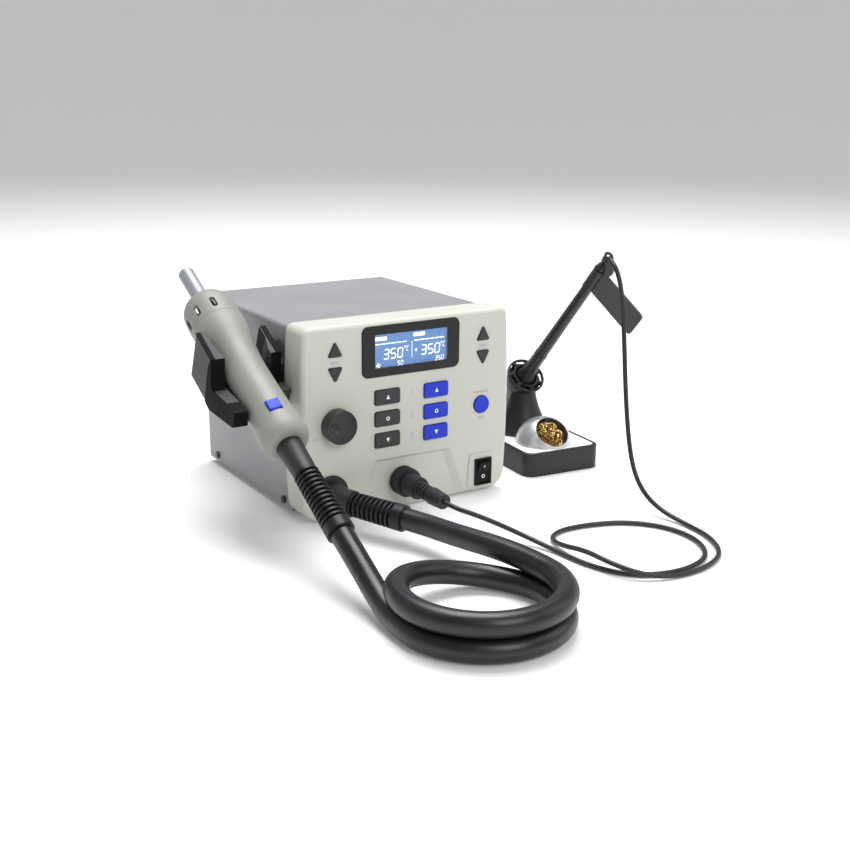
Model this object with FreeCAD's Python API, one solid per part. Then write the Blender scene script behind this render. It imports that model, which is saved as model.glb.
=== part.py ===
import FreeCAD, Part
import math
import os

# Two-in-one rework station: a hot air station with its handset in a side cradle, the air
# hose, and a soldering iron in a stand beside it. Millimetres.
# Station frame: +X right as seen from the front, the front faces -Y, +Z up, z = 0 is the
# bench. Everything is built about the middle of the station and moved at export, so that
# the origin is the middle of the underside of the front left foot.

V = FreeCAD.Vector
X_AXIS = V(1, 0, 0)
Y_AXIS = V(0, 1, 0)
Z_AXIS = V(0, 0, 1)
ORIGIN = V(0, 0, 0)

# ---------------------------------------------------------------- driving dimensions
CASE_W = 165.0
CASE_BOTTOM = 4.0
CASE_TOP = 139.0
SEAM_Y = -64.0
FRONT_Y = -90.0
REAR_Y = 89.0
SHEET = 1.2
FOOT_X = 68.0
FOOT_FRONT_Y = -50.0
FOOT_REAR_Y = 76.0
FOOT_R = 7.0
GAP = 0.3

PANEL_WALL = 3.0
PANEL_EDGE_R = 3.5
PANEL_SHELL = 2.4
PANEL_TOP = 141.0
PANEL_BOTTOM = 1.8
RECESS_DEPTH = 2.4
ISLAND_H = 0.9
BOARD_FRONT_Y = -80.0
BOARD_T = 1.6

LCD_CENTRE = (0.9, 119.7)
LCD_FRAME = (80.5, 36.3)
LCD_VIEW = (60.6, 24.0)
TRIANGLES = {"temp_up_key": (-60.4, 125.0, 1), "temp_down_key": (-60.4, 106.8, -1),
             "time_up_key": (62.4, 124.0, 1), "time_down_key": (62.4, 105.6, -1)}
TRIANGLE_W = 11.0
TRIANGLE_H = 10.5
KEY_W = 20.4
KEY_H = 10.8
KEY_ROWS = (86.4, 70.6, 54.8)
DARK_KEY_X = -19.2
BLUE_KEY_X = 21.6
STANDBY = (61.9, 69.8)
STANDBY_R = 6.6
KEY_PROUD = 1.5
KEY_TRAVEL = 1.0
KEY_FLANGE = 1.4

KNOB = (-60.0, 71.4)
KNOB_R = 12.1
KNOB_H = 8.5
SHAFT_R = 3.0
RUN_GAP = 0.06

ROCKER = (64.1, 17.1)
ROCKER_FRAME = (15.0, 21.0)
ROCKER_W = 9.6
ROCKER_R = 8.9
ROCKER_PIVOT_Y = -89.0
ROCKER_REST = 10.0

SOCKET = (-6.5, 22.3)
SOCKET_R = 10.8

DUCT = (-65.0, 22.3)
HOSE_D = 15.0
BOOT_R = 9.3
ELBOW_TURN = 27.0
ELBOW_R = 22.0
ELBOW_DROOP = 3.5

HANDSET_TIP = V(-112.0, 46.6, 161.5)
HANDSET_TILT = 27.5
HANDSET_ROLL = 12.0
CORD_D = 3.4

STAND_AT = V(148.0, -85.5, 0.0)
STAND_YAW = -5.0
STAND_W = 70.0
STAND_D = 118.0
STAND_H = 19.0
HUB_AT = V(0.0, 62.4, 65.8)
HUB_VENTS = 7
VENT_REACH = 2.9
IRON_ELEVATION = 46.3
DOME_AT = V(-2.6, 28.1, 16.0)
DOME_R = 23.5
DOME_SKIN = 1.2
DOME_RAKE = 48.0
DOME_TURN = 0.0
MOUTH_R = 14.0

EXPORT_SHIFT = V(FOOT_X, -FOOT_FRONT_Y, 0)

# Local frames. In the cradle frame +Z runs along the handset from its nozzle tip to its tail,
# and +Y is up out of the cradle. The handset lies in it rolled a little to the left. In the
# iron frame +Z runs from the hub up the handle.
CRADLE = FreeCAD.Placement(HANDSET_TIP, FreeCAD.Rotation(X_AXIS, 90 + HANDSET_TILT))
HANDSET = CRADLE.multiply(FreeCAD.Placement(ORIGIN, FreeCAD.Rotation(Z_AXIS, HANDSET_ROLL)))
STAND = FreeCAD.Placement(STAND_AT, FreeCAD.Rotation(Z_AXIS, STAND_YAW))
IRON = STAND.multiply(FreeCAD.Placement(HUB_AT, FreeCAD.Rotation(X_AXIS, 90 - IRON_ELEVATION)))


# ---------------------------------------------------------------- helpers
def box(x0, x1, y0, y1, z0, z1):
    return Part.makeBox(x1 - x0, y1 - y0, z1 - z0, V(x0, y0, z0))


def rod(radius, start, end):
    """Cylinder from one point to another."""
    along = end - start
    return Part.makeCylinder(radius, along.Length, start, along)


def ring(outer, inner, start, end):
    return rod(outer, start, end).cut(rod(inner, start, end))


def y_rod(radius, x, z, y0, y1):
    return rod(radius, V(x, y0, z), V(x, y1, z))


def x_rod(radius, y, z, x0, x1):
    return rod(radius, V(x0, y, z), V(x1, y, z))


def slab(points, direction):
    """Polygon swept along a vector."""
    face = Part.Face(Part.makePolygon(points + [points[0]]))
    return face.extrude(direction)


def rounded_slab(width, height, radius, centre, y0, y1):
    """Plate facing -Y with rounded corners."""
    x, z = centre
    plate = box(x - width / 2, x + width / 2, y0, y1, z - height / 2, z + height / 2)
    corners = [e for e in plate.Edges if abs(e.tangentAt(e.FirstParameter).y) > 0.99]
    return plate.makeFillet(radius, corners)


def turned(profile):
    """Solid of revolution about +Z from (z, radius) pairs joined by straight lines."""
    points = [V(radius, 0, z) for z, radius in profile]
    face = Part.Face(Part.makePolygon(points + [points[0]]))
    return face.revolve(ORIGIN, Z_AXIS, 360)


def turned_smooth(outline, floor_radius=0.0):
    """Solid of revolution about +Z whose outside is a smooth curve through (z, radius)."""
    curve = Part.BSplineCurve()
    curve.interpolate([V(radius, 0, z) for z, radius in outline])
    first = outline[0]
    last = outline[-1]
    inner_first = V(floor_radius, 0, first[0])
    inner_last = V(floor_radius, 0, last[0])
    edges = [curve.toShape(),
             Part.makeLine(V(last[1], 0, last[0]), inner_last),
             Part.makeLine(inner_last, inner_first),
             Part.makeLine(inner_first, V(first[1], 0, first[0]))]
    return Part.Face(Part.Wire(edges)).revolve(ORIGIN, Z_AXIS, 360)


def placed(shape, placement):
    copy = shape.copy()
    copy.Placement = placement.multiply(copy.Placement)
    return copy


def fuse_all(shapes):
    result = shapes[0]
    for shape in shapes[1:]:
        result = result.fuse(shape)
    return result.removeSplitter()


def route_tube(name, points, diameter):
    """Tube along straight runs joined by tangent arcs, each as large as its runs allow."""
    edges = []
    radii = []
    length = 0.0
    start = points[0]
    for before, corner, after in zip(points, points[1:], points[2:]):
        into = corner - before
        out = after - corner
        turn = into.getAngle(out)
        radius = 0.45 * min(into.Length, out.Length) / math.tan(turn / 2)
        radii.append(radius)
        reach = radius * math.tan(turn / 2)
        into.normalize()
        out.normalize()
        first = corner - into * reach
        last = corner + out * reach
        to_centre = out - into
        to_centre.normalize()
        centre = corner + to_centre * (radius / math.cos(turn / 2))
        middle = centre - to_centre * radius
        edges.append(Part.makeLine(start, first))
        edges.append(Part.Arc(first, middle, last).toShape())
        length += (first - start).Length + radius * turn
        start = last
    edges.append(Part.makeLine(start, points[-1]))
    length += (points[-1] - start).Length
    path = Part.Wire(edges)
    section = Part.Wire(Part.makeCircle(diameter / 2, points[0], points[1] - points[0]))
    tube = path.makePipeShell([section], True, False)
    expected = length * math.pi * diameter ** 2 / 4
    print(f"{name}: length {length:.0f}, tightest radius {min(radii):.1f}, "
          f"volume ratio {tube.Volume / expected:.4f}")
    return tube


# ---------------------------------------------------------------- station case
def vent_slots(x_values, y0, y1, z0, z1, width):
    return fuse_all([box(x - width / 2, x + width / 2, y0, y1, z0, z1) for x in x_values])


def base_tray():
    half = CASE_W / 2 - SHEET - 0.1
    floor = box(-half, half, SEAM_Y + 0.2, REAR_Y - SHEET - 0.1, CASE_BOTTOM, CASE_BOTTOM + SHEET)
    left = box(-half, -half + SHEET, SEAM_Y + 0.2, REAR_Y - SHEET - 0.1, CASE_BOTTOM, 20)
    right = left.mirror(ORIGIN, X_AXIS)
    slots = vent_slots(range(20, 62, 6), 0, 60, CASE_BOTTOM - 1, CASE_BOTTOM + SHEET + 1, 2.5)
    return fuse_all([floor, left, right]).cut(slots)


def top_cover():
    bend = 3.0
    half = CASE_W / 2
    outer = box(-half, half, SEAM_Y + 0.1, REAR_Y, CASE_BOTTOM, CASE_TOP)
    long_edges = [e for e in outer.Edges if e.BoundBox.ZMin > CASE_TOP - 1 and e.BoundBox.YLength > 100]
    outer = outer.makeFillet(bend, long_edges)
    inner = box(-half + SHEET, half - SHEET, SEAM_Y, REAR_Y + 1, CASE_BOTTOM - 1, CASE_TOP - SHEET)
    long_edges = [e for e in inner.Edges if e.BoundBox.ZMin > CASE_TOP - 2 and e.BoundBox.YLength > 100]
    inner = inner.makeFillet(bend - SHEET, long_edges)
    cover = outer.cut(inner)
    for y in SCREW_Y:
        cover = cover.cut(x_rod(1.6, y, SCREW_Z, -half - 1, half + 1))
    return cover


SCREW_Y = (-50.8, 72.2)
SCREW_Z = 9.0


def case_screws():
    screws = []
    for side in (-1, 1):
        for y in SCREW_Y:
            shank = x_rod(1.5, y, SCREW_Z, side * CASE_W / 2, side * (CASE_W / 2 - SHEET))
            head = x_rod(2.8, y, SCREW_Z, side * CASE_W / 2, side * (CASE_W / 2 + 1.4))
            slot = box(-CASE_W, CASE_W, y - 0.4, y + 0.4, SCREW_Z - 1.6, SCREW_Z + 1.6)
            slot = slot.common(x_rod(3, y, SCREW_Z, side * (CASE_W / 2 + 0.7), side * (CASE_W / 2 + 3)))
            screws.append(shank.fuse(head).cut(slot).removeSplitter())
    return Part.makeCompound(screws)


INLET = (-50.0, 34.0)


def rear_panel():
    half = CASE_W / 2 - SHEET - 0.1
    plate = box(-half, half, REAR_Y - SHEET, REAR_Y, CASE_BOTTOM + SHEET + 0.2, CASE_TOP - SHEET - 0.2)
    hole = box(INLET[0] - 14, INLET[0] + 14, REAR_Y - 5, REAR_Y + 5, INLET[1] - 19, INLET[1] + 13)
    slots = vent_slots(range(-15, 62, 6), REAR_Y - 5, REAR_Y + 5, 70, 120, 3.0)
    corners = [e for e in plate.Edges if e.BoundBox.YLength > 1 and e.BoundBox.ZMin > 100]
    return plate.makeFillet(2, corners).cut(hole).cut(slots)


def mains_inlet():
    """C14 inlet over a fuse drawer, in one flange."""
    x, z = INLET
    flange = box(x - 16, x + 16, REAR_Y, REAR_Y + 2, z - 22, z + 16)
    body = box(x - 13.8, x + 13.8, REAR_Y - 24, REAR_Y, z - 18.8, z + 12.8)
    recess = box(x - 12, x + 12, REAR_Y - 14, REAR_Y + 3, z - 8, z + 10)
    corners = [e for e in recess.Edges if e.BoundBox.YLength > 10 and e.BoundBox.ZMin > z + 9]
    recess = recess.makeChamfer(4, corners)
    inlet = flange.fuse(body).cut(recess)
    for dx, dz in ((-7, 0.5), (7, 0.5), (0, 4.5)):
        inlet = inlet.fuse(box(x + dx - 1, x + dx + 1, REAR_Y - 15, REAR_Y - 1, z + dz - 2, z + dz + 2))
    drawer_line = box(x - 12, x + 12, REAR_Y + 1.2, REAR_Y + 3, z - 19, z - 18.2)
    return inlet.cut(drawer_line).removeSplitter()


def rubber_feet():
    feet = []
    for x in (-FOOT_X, FOOT_X):
        for y in (FOOT_FRONT_Y, FOOT_REAR_Y):
            foot = Part.makeCone(FOOT_R, FOOT_R + 0.8, CASE_BOTTOM, V(x, y, 0), Z_AXIS)
            feet.append(foot)
    return Part.makeCompound(feet)


# ---------------------------------------------------------------- front panel
def panel_outline(y):
    """Outline of the moulded panel: bulged sides and well rounded lower corners."""
    half_top = 84.5
    right = [Part.makeLine(V(-78.5, y, PANEL_TOP), V(78.5, y, PANEL_TOP)),
             Part.Arc(V(78.5, y, PANEL_TOP), V(82.8, y, 139.3), V(half_top, y, 135)).toShape(),
             Part.Arc(V(half_top, y, 135), V(87.0, y, 76), V(85.6, y, 16)).toShape(),
             Part.Arc(V(85.6, y, 16), V(82.0, y, 6.2), V(73, y, PANEL_BOTTOM)).toShape(),
             Part.makeLine(V(73, y, PANEL_BOTTOM), V(-73, y, PANEL_BOTTOM)),
             Part.Arc(V(-73, y, PANEL_BOTTOM), V(-82.0, y, 6.2), V(-85.6, y, 16)).toShape(),
             Part.Arc(V(-85.6, y, 16), V(-87.0, y, 76), V(-half_top, y, 135)).toShape(),
             Part.Arc(V(-half_top, y, 135), V(-82.8, y, 139.3), V(-78.5, y, PANEL_TOP)).toShape()]
    return Part.Wire(right)


RECESS_RIM = ((-30.0, 40.4), (34.5, 40.0), (49.5, PANEL_BOTTOM - 2), (-47.0, PANEL_BOTTOM - 2))
RECESS_FLOOR = ((-26.0, 38.4), (29.5, 38.0), (42.5, PANEL_BOTTOM - 2), (-36.0, PANEL_BOTTOM - 2))


def recess_space():
    """Sunken field round the iron socket, with sloping sides, wider and open at the bottom."""
    floor = [V(x, FRONT_Y + RECESS_DEPTH, z) for x, z in RECESS_FLOOR]
    rim = [V(x, FRONT_Y, z) for x, z in RECESS_RIM]
    above = [outer * 2 - inner for outer, inner in zip(rim, floor)]
    wires = [Part.makePolygon(points + [points[0]]) for points in (above, floor)]
    return Part.makeLoft(wires, True, True)


def recess_backing():
    """Thicker wall behind the sunken field."""
    corners = [V(x, FRONT_Y + 1, z + 1) for x, z in RECESS_RIM]
    return slab(corners, V(0, PANEL_WALL + RECESS_DEPTH - 1, 0))


def triangle(x, z, up, grow, y0, y1):
    """Triangular key outline with rounded corners, pointing up or down."""
    base_angle = math.atan2(TRIANGLE_H, TRIANGLE_W / 2)
    half_w = TRIANGLE_W / 2 + grow / math.tan(base_angle / 2)
    base = z - up * (TRIANGLE_H / 2 + grow)
    apex = z + up * (TRIANGLE_H / 2 + grow / math.cos(base_angle))
    corners = [V(x - half_w, y0, base), V(x + half_w, y0, base), V(x, y0, apex)]
    solid = slab(corners, V(0, y1 - y0, 0))
    edges = [e for e in solid.Edges if e.BoundBox.YLength > abs(y1 - y0) - 0.01]
    return solid.makeFillet(1.0, edges)


def oblong(x, z, grow, y0, y1):
    return rounded_slab(KEY_W + 2 * grow, KEY_H + 2 * grow, 1.8, (x, z), y0, y1)


def key_shapes():
    """Every key as a function of how much its outline is grown and of its depth range."""
    shapes = {}
    for name, (x, z, up) in TRIANGLES.items():
        shapes[name] = lambda grow, y0, y1, x=x, z=z, up=up: triangle(x, z, up, grow, y0, y1)
    for row, z in enumerate(KEY_ROWS, 1):
        for label, x in (("memory_key", DARK_KEY_X), ("set_key", BLUE_KEY_X)):
            shapes[f"{label}_{row}"] = lambda grow, y0, y1, x=x, z=z: oblong(x, z, grow, y0, y1)
    x, z = STANDBY
    shapes["standby_key"] = lambda grow, y0, y1: y_rod(STANDBY_R + grow, x, z, y0, y1)
    return shapes


def key(outline):
    """Key cap with a retaining flange behind the panel wall."""
    inner_y = FRONT_Y + PANEL_WALL
    cap = outline(0, FRONT_Y - KEY_PROUD, inner_y + GAP)
    rims = [e for e in cap.Edges if e.BoundBox.YMax < FRONT_Y - KEY_PROUD + 0.01]
    cap = cap.makeFillet(0.5, rims)
    flange = outline(KEY_FLANGE, inner_y + GAP, inner_y + GAP + 1.5)
    return cap.fuse(flange).removeSplitter()


def switch_island():
    """Raised pad round the power switch."""
    face_y = FRONT_Y - ISLAND_H
    corners = [V(52.0, face_y, 32.0), V(76.0, face_y, 32.0), V(76.0, face_y, 5.5), V(50.2, face_y, 5.5)]
    pad = slab(corners, V(0, ISLAND_H + 1, 0))
    pad = pad.makeFillet(2.5, [e for e in pad.Edges if e.BoundBox.YLength > ISLAND_H])
    return pad.makeChamfer(0.6, [e for e in pad.Edges if e.BoundBox.YMax < face_y + 0.01])


def front_panel():
    outer = Part.Face(panel_outline(SEAM_Y)).extrude(V(0, FRONT_Y - SEAM_Y, 0))
    rim = [e for e in outer.Edges if e.BoundBox.YMax < FRONT_Y + 0.01]
    outer = outer.makeFillet(PANEL_EDGE_R, rim)
    hollow_outline = panel_outline(SEAM_Y).makeOffset2D(-PANEL_SHELL)
    hollow = Part.Face(hollow_outline).extrude(V(0, FRONT_Y + PANEL_WALL - SEAM_Y, 0))
    panel = outer.cut(hollow).fuse(recess_backing().common(outer)).cut(recess_space())
    panel = panel.fuse(switch_island())
    seat = rounded_slab(LCD_FRAME[0] + 0.4, LCD_FRAME[1] + 0.4, 5, LCD_CENTRE, FRONT_Y - 1, FRONT_Y + 1.2)
    panel = panel.cut(seat)
    panel = panel.cut(rounded_slab(72, 31, 2, LCD_CENTRE, FRONT_Y - 1, FRONT_Y + 5))
    for outline in key_shapes().values():
        panel = panel.cut(outline(GAP, FRONT_Y - 2, FRONT_Y + 5))
    panel = panel.cut(y_rod(4.5, KNOB[0], KNOB[1], FRONT_Y - 1, FRONT_Y + 5))
    panel = panel.cut(y_rod(8.2, SOCKET[0], SOCKET[1], FRONT_Y - 1, FRONT_Y + 8))
    panel = panel.cut(y_rod(9.3, DUCT[0], DUCT[1], FRONT_Y - 1, FRONT_Y + 8))
    panel = panel.cut(rounded_slab(13.4, 20.5, 0.3, ROCKER, FRONT_Y - 2, FRONT_Y + 5))
    for x, z in ((-74, 95), (74, 95), (-40, 48), (42, 48)):
        panel = panel.fuse(y_rod(2.8, x, z, FRONT_Y + PANEL_WALL - 0.5, BOARD_FRONT_Y - 0.1))
    return panel.removeSplitter()


def lcd_frame():
    plate = rounded_slab(LCD_FRAME[0], LCD_FRAME[1], 5, LCD_CENTRE, FRONT_Y - 1, FRONT_Y + 1.1)
    front = [e for e in plate.Edges if e.BoundBox.YMax < FRONT_Y - 0.99]
    plate = plate.makeFillet(0.6, front)
    view = rounded_slab(LCD_VIEW[0], LCD_VIEW[1], 1, LCD_CENTRE, FRONT_Y - 2, FRONT_Y + 2)
    return plate.cut(view)


def lcd_window():
    return rounded_slab(LCD_VIEW[0] - 0.1, LCD_VIEW[1] - 0.1, 0.95, LCD_CENTRE, FRONT_Y - 0.7, FRONT_Y + 0.6)


def lcd_module():
    return rounded_slab(68, 29, 1, LCD_CENTRE, FRONT_Y + 1.3, FRONT_Y + 7.5)


def panel_board():
    """Circuit board with the key switches, the airflow potentiometer and its bushing."""
    board = box(-79, 79, BOARD_FRONT_Y, BOARD_FRONT_Y + BOARD_T, 44, 134)
    stem_y = FRONT_Y + PANEL_WALL + GAP + 1.5 + KEY_TRAVEL + GAP
    for name, (x, z, _) in TRIANGLES.items():
        board = board.fuse(box(x - 3, x + 3, stem_y, BOARD_FRONT_Y + 0.5, z - 3, z + 3))
    for z in KEY_ROWS:
        for x in (DARK_KEY_X, BLUE_KEY_X):
            board = board.fuse(box(x - 3, x + 3, stem_y, BOARD_FRONT_Y + 0.5, z - 3, z + 3))
    x, z = STANDBY
    board = board.fuse(box(x - 3, x + 3, stem_y, BOARD_FRONT_Y + 0.5, z - 3, z + 3))
    x, z = KNOB
    bushing = y_rod(4.3, x, z, FRONT_Y - 0.4, BOARD_FRONT_Y + BOARD_T)
    pot = box(x - 8, x + 8, BOARD_FRONT_Y + BOARD_T, BOARD_FRONT_Y + 9, z - 8, z + 8)
    bore = y_rod(SHAFT_R + RUN_GAP, x, z, FRONT_Y - 1, BOARD_FRONT_Y + 5)
    return fuse_all([board, bushing, pot]).cut(bore)


def airflow_knob():
    x, z = KNOB
    back = FRONT_Y - 0.8
    face = back - KNOB_H
    body = y_rod(KNOB_R, x, z, face, back)
    body = body.makeFillet(1.2, [e for e in body.Edges if e.BoundBox.YMax < face + 0.01])
    dish = Part.makeSphere(46, V(x, face - 44.6, z))
    dimple = Part.makeSphere(7, V(x - 0.4 * KNOB_R, face - 4.6, z))
    shaft = y_rod(SHAFT_R, x, z, face + 3, BOARD_FRONT_Y + 4.5)
    return body.cut(dish).cut(dimple).fuse(shaft).removeSplitter()


def rocker_frame():
    pad_y = FRONT_Y - ISLAND_H
    flange = rounded_slab(ROCKER_FRAME[0], ROCKER_FRAME[1], 0.8, ROCKER, pad_y - 1.3, pad_y)
    body = box(ROCKER[0] - 6.5, ROCKER[0] + 6.5, pad_y, FRONT_Y + 14, ROCKER[1] - 10.1, ROCKER[1] + 10.1)
    bore = box(ROCKER[0] - 5.1, ROCKER[0] + 5.1, FRONT_Y - 5, FRONT_Y + 12, ROCKER[1] - 9.2, ROCKER[1] + 9.2)
    pins = x_rod(1.0 + RUN_GAP, ROCKER_PIVOT_Y, ROCKER[1], ROCKER[0] - 6.2, ROCKER[0] + 6.2)
    return flange.fuse(body).cut(bore).cut(pins).removeSplitter()


def power_rocker():
    """Rocker with a shallow V face, at rest with its lower half pressed in."""
    x, z = ROCKER
    drum = x_rod(ROCKER_R, ROCKER_PIVOT_Y, z, x - ROCKER_W / 2, x + ROCKER_W / 2)
    valley = FRONT_Y - 2.0
    rise = ROCKER_R * math.tan(math.radians(ROCKER_REST))
    section = [V(x - 10, valley, z), V(x - 10, valley - rise, z + ROCKER_R),
               V(x - 10, ROCKER_PIVOT_Y + 3, z + ROCKER_R), V(x - 10, ROCKER_PIVOT_Y + 3, z - ROCKER_R),
               V(x - 10, valley - rise, z - ROCKER_R)]
    body = drum.common(slab(section, V(20, 0, 0)))
    pins = x_rod(1.0, ROCKER_PIVOT_Y, z, x - 6.0, x + 6.0)
    rocker = body.fuse(pins).removeSplitter()
    rocker.rotate(V(x, ROCKER_PIVOT_Y, z), X_AXIS, ROCKER_REST)
    return rocker


# ---------------------------------------------------------------- iron socket and plug
def iron_socket():
    x, z = SOCKET
    floor_y = FRONT_Y + RECESS_DEPTH
    flange = y_rod(9.8, x, z, floor_y - 2.6, floor_y)
    barrel = y_rod(8.0, x, z, floor_y, floor_y + 14)
    bore = y_rod(6.3, x, z, floor_y - 4, floor_y + 7)
    return flange.fuse(barrel).cut(bore).removeSplitter()


PLUG_FACE_Y = -90.3
PLUG_BOOT_END_Y = -146.0


def plug_shell():
    """Plug body with its moulded, grooved cable boot."""
    x, z = SOCKET
    nose = y_rod(6.2, x, z, PLUG_FACE_Y + 6, PLUG_FACE_Y)
    neck = y_rod(7.2, x, z, PLUG_FACE_Y, PLUG_FACE_Y - 9)
    body = rod(8.2, V(x, PLUG_FACE_Y - 9, z), V(x, PLUG_FACE_Y - 24, z))
    body = body.makeFillet(1.0, body.Edges[0:1])
    start_y = PLUG_FACE_Y - 24
    collar_y = start_y - 17
    boot_neck = Part.makeCone(6.2, 5.2, start_y - collar_y, V(x, start_y, z), V(0, -1, 0))
    for index in range(3):
        y = start_y - 4 - 4.0 * index
        boot_neck = boot_neck.cut(ring(8, 4.6, V(x, y, z), V(x, y - 1.4, z)))
    collar = Part.makeCone(6.3, 5.5, collar_y - PLUG_BOOT_END_Y, V(x, collar_y, z), V(0, -1, 0))
    collar = collar.makeFillet(0.8, [e for e in collar.Edges if e.BoundBox.YMax < PLUG_BOOT_END_Y + 0.1])
    return fuse_all([nose, neck, body, boot_neck, collar])


def plug_ring():
    x, z = SOCKET
    start = V(x, PLUG_FACE_Y - 0.2, z)
    end = V(x, PLUG_FACE_Y - 8.8, z)
    collar = ring(SOCKET_R, 7.2 + RUN_GAP, start, end)
    rim = [e for e in collar.Edges if e.BoundBox.XLength > 2 * SOCKET_R - 0.1 and e.BoundBox.YLength < 0.1]
    return collar.makeFillet(1.0, rim)


# ---------------------------------------------------------------- air path
BLOWER_AT = V(-65.0, 15.0, 46.0)
BLOWER_R = 34.0
BLOWER_W = 24.0


def blower_housing():
    c = BLOWER_AT
    half = BLOWER_W / 2
    drum = x_rod(BLOWER_R, c.y, c.z, c.x - half, c.x + half)
    outlet = box(c.x - 11, c.x + 11, c.y - 40, c.y, 12.0, 33.0)
    cavity = x_rod(BLOWER_R - 2, c.y, c.z, c.x - half + 2, c.x + half - 2)
    channel = box(c.x - 9, c.x + 9, c.y - 41, c.y, 14.0, 31.0)
    intake = x_rod(15, c.y, c.z, c.x - half - 1, c.x)
    shaft_hole = x_rod(2.4, c.y, c.z, c.x, c.x + half + 1)
    return drum.fuse(outlet).cut(cavity).cut(channel).cut(intake).cut(shaft_hole).removeSplitter()


def blower_impeller():
    c = BLOWER_AT
    half = BLOWER_W / 2
    disc = x_rod(28, c.y, c.z, c.x + half - 5, c.x + half - 3.5)
    hub = x_rod(6, c.y, c.z, c.x - 2, c.x + half - 3.5)
    shaft = x_rod(2.0, c.y, c.z, c.x, c.x + half + 15)
    parts = [disc, hub, shaft]
    blade = box(c.x - half + 4, c.x + half - 5, c.y - 0.6, c.y + 0.6, c.z + 18, c.z + 27.5)
    for index in range(18):
        parts.append(blade.rotated(c, X_AXIS, index * 20))
    return fuse_all(parts)


def blower_motor():
    c = BLOWER_AT
    start = c.x + BLOWER_W / 2 + 0.1
    body = x_rod(17, c.y, c.z, start, start + 28)
    return body.cut(x_rod(2.0 + RUN_GAP, c.y, c.z, start - 1, start + 16))


def air_duct():
    """Round duct from the blower outlet to the panel elbow."""
    x, z = DUCT
    plate = box(x - 11, x + 11, BLOWER_AT.y - 42.3, BLOWER_AT.y - 40.1, 12.0, 33.0)
    tube = y_rod(9.0, x, z, BLOWER_AT.y - 42, FRONT_Y + 3)
    bore = y_rod(7.5, x, z, BLOWER_AT.y - 39, FRONT_Y + 2)
    return plate.fuse(tube).cut(bore).removeSplitter()


def elbow_frame():
    return FreeCAD.Placement(V(DUCT[0], FRONT_Y, DUCT[1]), FreeCAD.Rotation(X_AXIS, ELBOW_DROOP))


def elbow_end():
    """Centre and direction of the elbow's outer end, in the elbow's own frame."""
    turn = math.radians(ELBOW_TURN)
    straight = 10.0
    end = V(ELBOW_R * (1 - math.cos(turn)), -straight - ELBOW_R * math.sin(turn), 0)
    return end, V(math.sin(turn), -math.cos(turn), 0)


def panel_boot():
    """Rubber elbow that carries the hose from the panel."""
    straight = 10.0
    turn = math.radians(ELBOW_TURN)
    half = turn / 2
    middle = V(ELBOW_R * (1 - math.cos(half)), -straight - ELBOW_R * math.sin(half), 0)
    end, direction = elbow_end()
    stub = end + direction * 5.0
    edges = [Part.makeLine(V(0, -0.6, 0), V(0, -straight, 0)),
             Part.Arc(V(0, -straight, 0), middle, end).toShape(),
             Part.makeLine(end, stub)]
    section = Part.Wire(Part.makeCircle(BOOT_R, V(0, -0.6, 0), V(0, -1, 0)))
    bend = Part.Wire(edges).makePipeShell([section], True, False)
    bend = placed(bend, elbow_frame())
    flange = y_rod(13.0, DUCT[0], DUCT[1], FRONT_Y, FRONT_Y - 2.6)
    flange = flange.makeFillet(1.0, [e for e in flange.Edges if e.BoundBox.YMax < FRONT_Y - 2.5])
    behind = box(-150, 0, FRONT_Y, FRONT_Y + 20, 0, 60)
    spigot = y_rod(7.4, DUCT[0], DUCT[1], FRONT_Y, FRONT_Y + 2.5)
    return bend.cut(behind).fuse(flange).fuse(spigot).removeSplitter()


RELIEF_LENGTH = 42.0


def ribbed_sleeve(length, start_r, end_r, bore_r):
    """Strain relief along +Z: a tapered sleeve with ring grooves and a plain end collar."""
    sleeve = Part.makeCone(start_r, end_r, length)
    pitch = 4.0
    count = int((length - 12) / pitch)
    for index in range(count):
        z = 4.0 + pitch * index
        depth_r = start_r + (end_r - start_r) * z / length - 1.1
        sleeve = sleeve.cut(ring(end_r + 4, depth_r, V(0, 0, z), V(0, 0, z + 1.7)))
    return sleeve.cut(rod(bore_r, V(0, 0, -1), V(0, 0, length + 1)))


def panel_relief_frame():
    end, direction = elbow_end()
    aim = FreeCAD.Rotation(Z_AXIS, direction)
    return elbow_frame().multiply(FreeCAD.Placement(end + direction * 5.2, aim))


def panel_strain_relief():
    return placed(ribbed_sleeve(RELIEF_LENGTH, 8.6, 9.2, 5.0), panel_relief_frame())


# ---------------------------------------------------------------- inside the station
def transformer():
    core = box(8, 62, 30, 78, 6.0, 52)
    coil_front = box(18, 52, 20, 30, 12, 46)
    coil_rear = box(18, 52, 78, 84, 12, 46)
    foot = box(2, 68, 36, 72, CASE_BOTTOM + SHEET, 7.4)
    return fuse_all([core, coil_front, coil_rear, foot])


def power_board():
    board = box(-20, 76, -58, 14, 11.0, 12.6)
    parts = [board]
    for x, y, radius, height in ((60, -40, 8, 25), (60, -18, 8, 25), (40, -45, 5, 16), (-8, -45, 5, 14)):
        parts.append(Part.makeCylinder(radius, height, V(x, y, 12.2)))
    for x in (0, 6, 12, 18):
        parts.append(box(x, x + 1.5, -30, 8, 14, 42))
    parts.append(box(0, 19.5, -30, 8, 12.4, 14.5))
    parts.append(box(28, 46, -10, 10, 12.4, 30))
    for x, y in ((-16, -54), (72, -54), (-16, 10), (72, 10)):
        parts.append(Part.makeCylinder(2.6, 5.9, V(x, y, CASE_BOTTOM + SHEET)))
    return fuse_all(parts)


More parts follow.
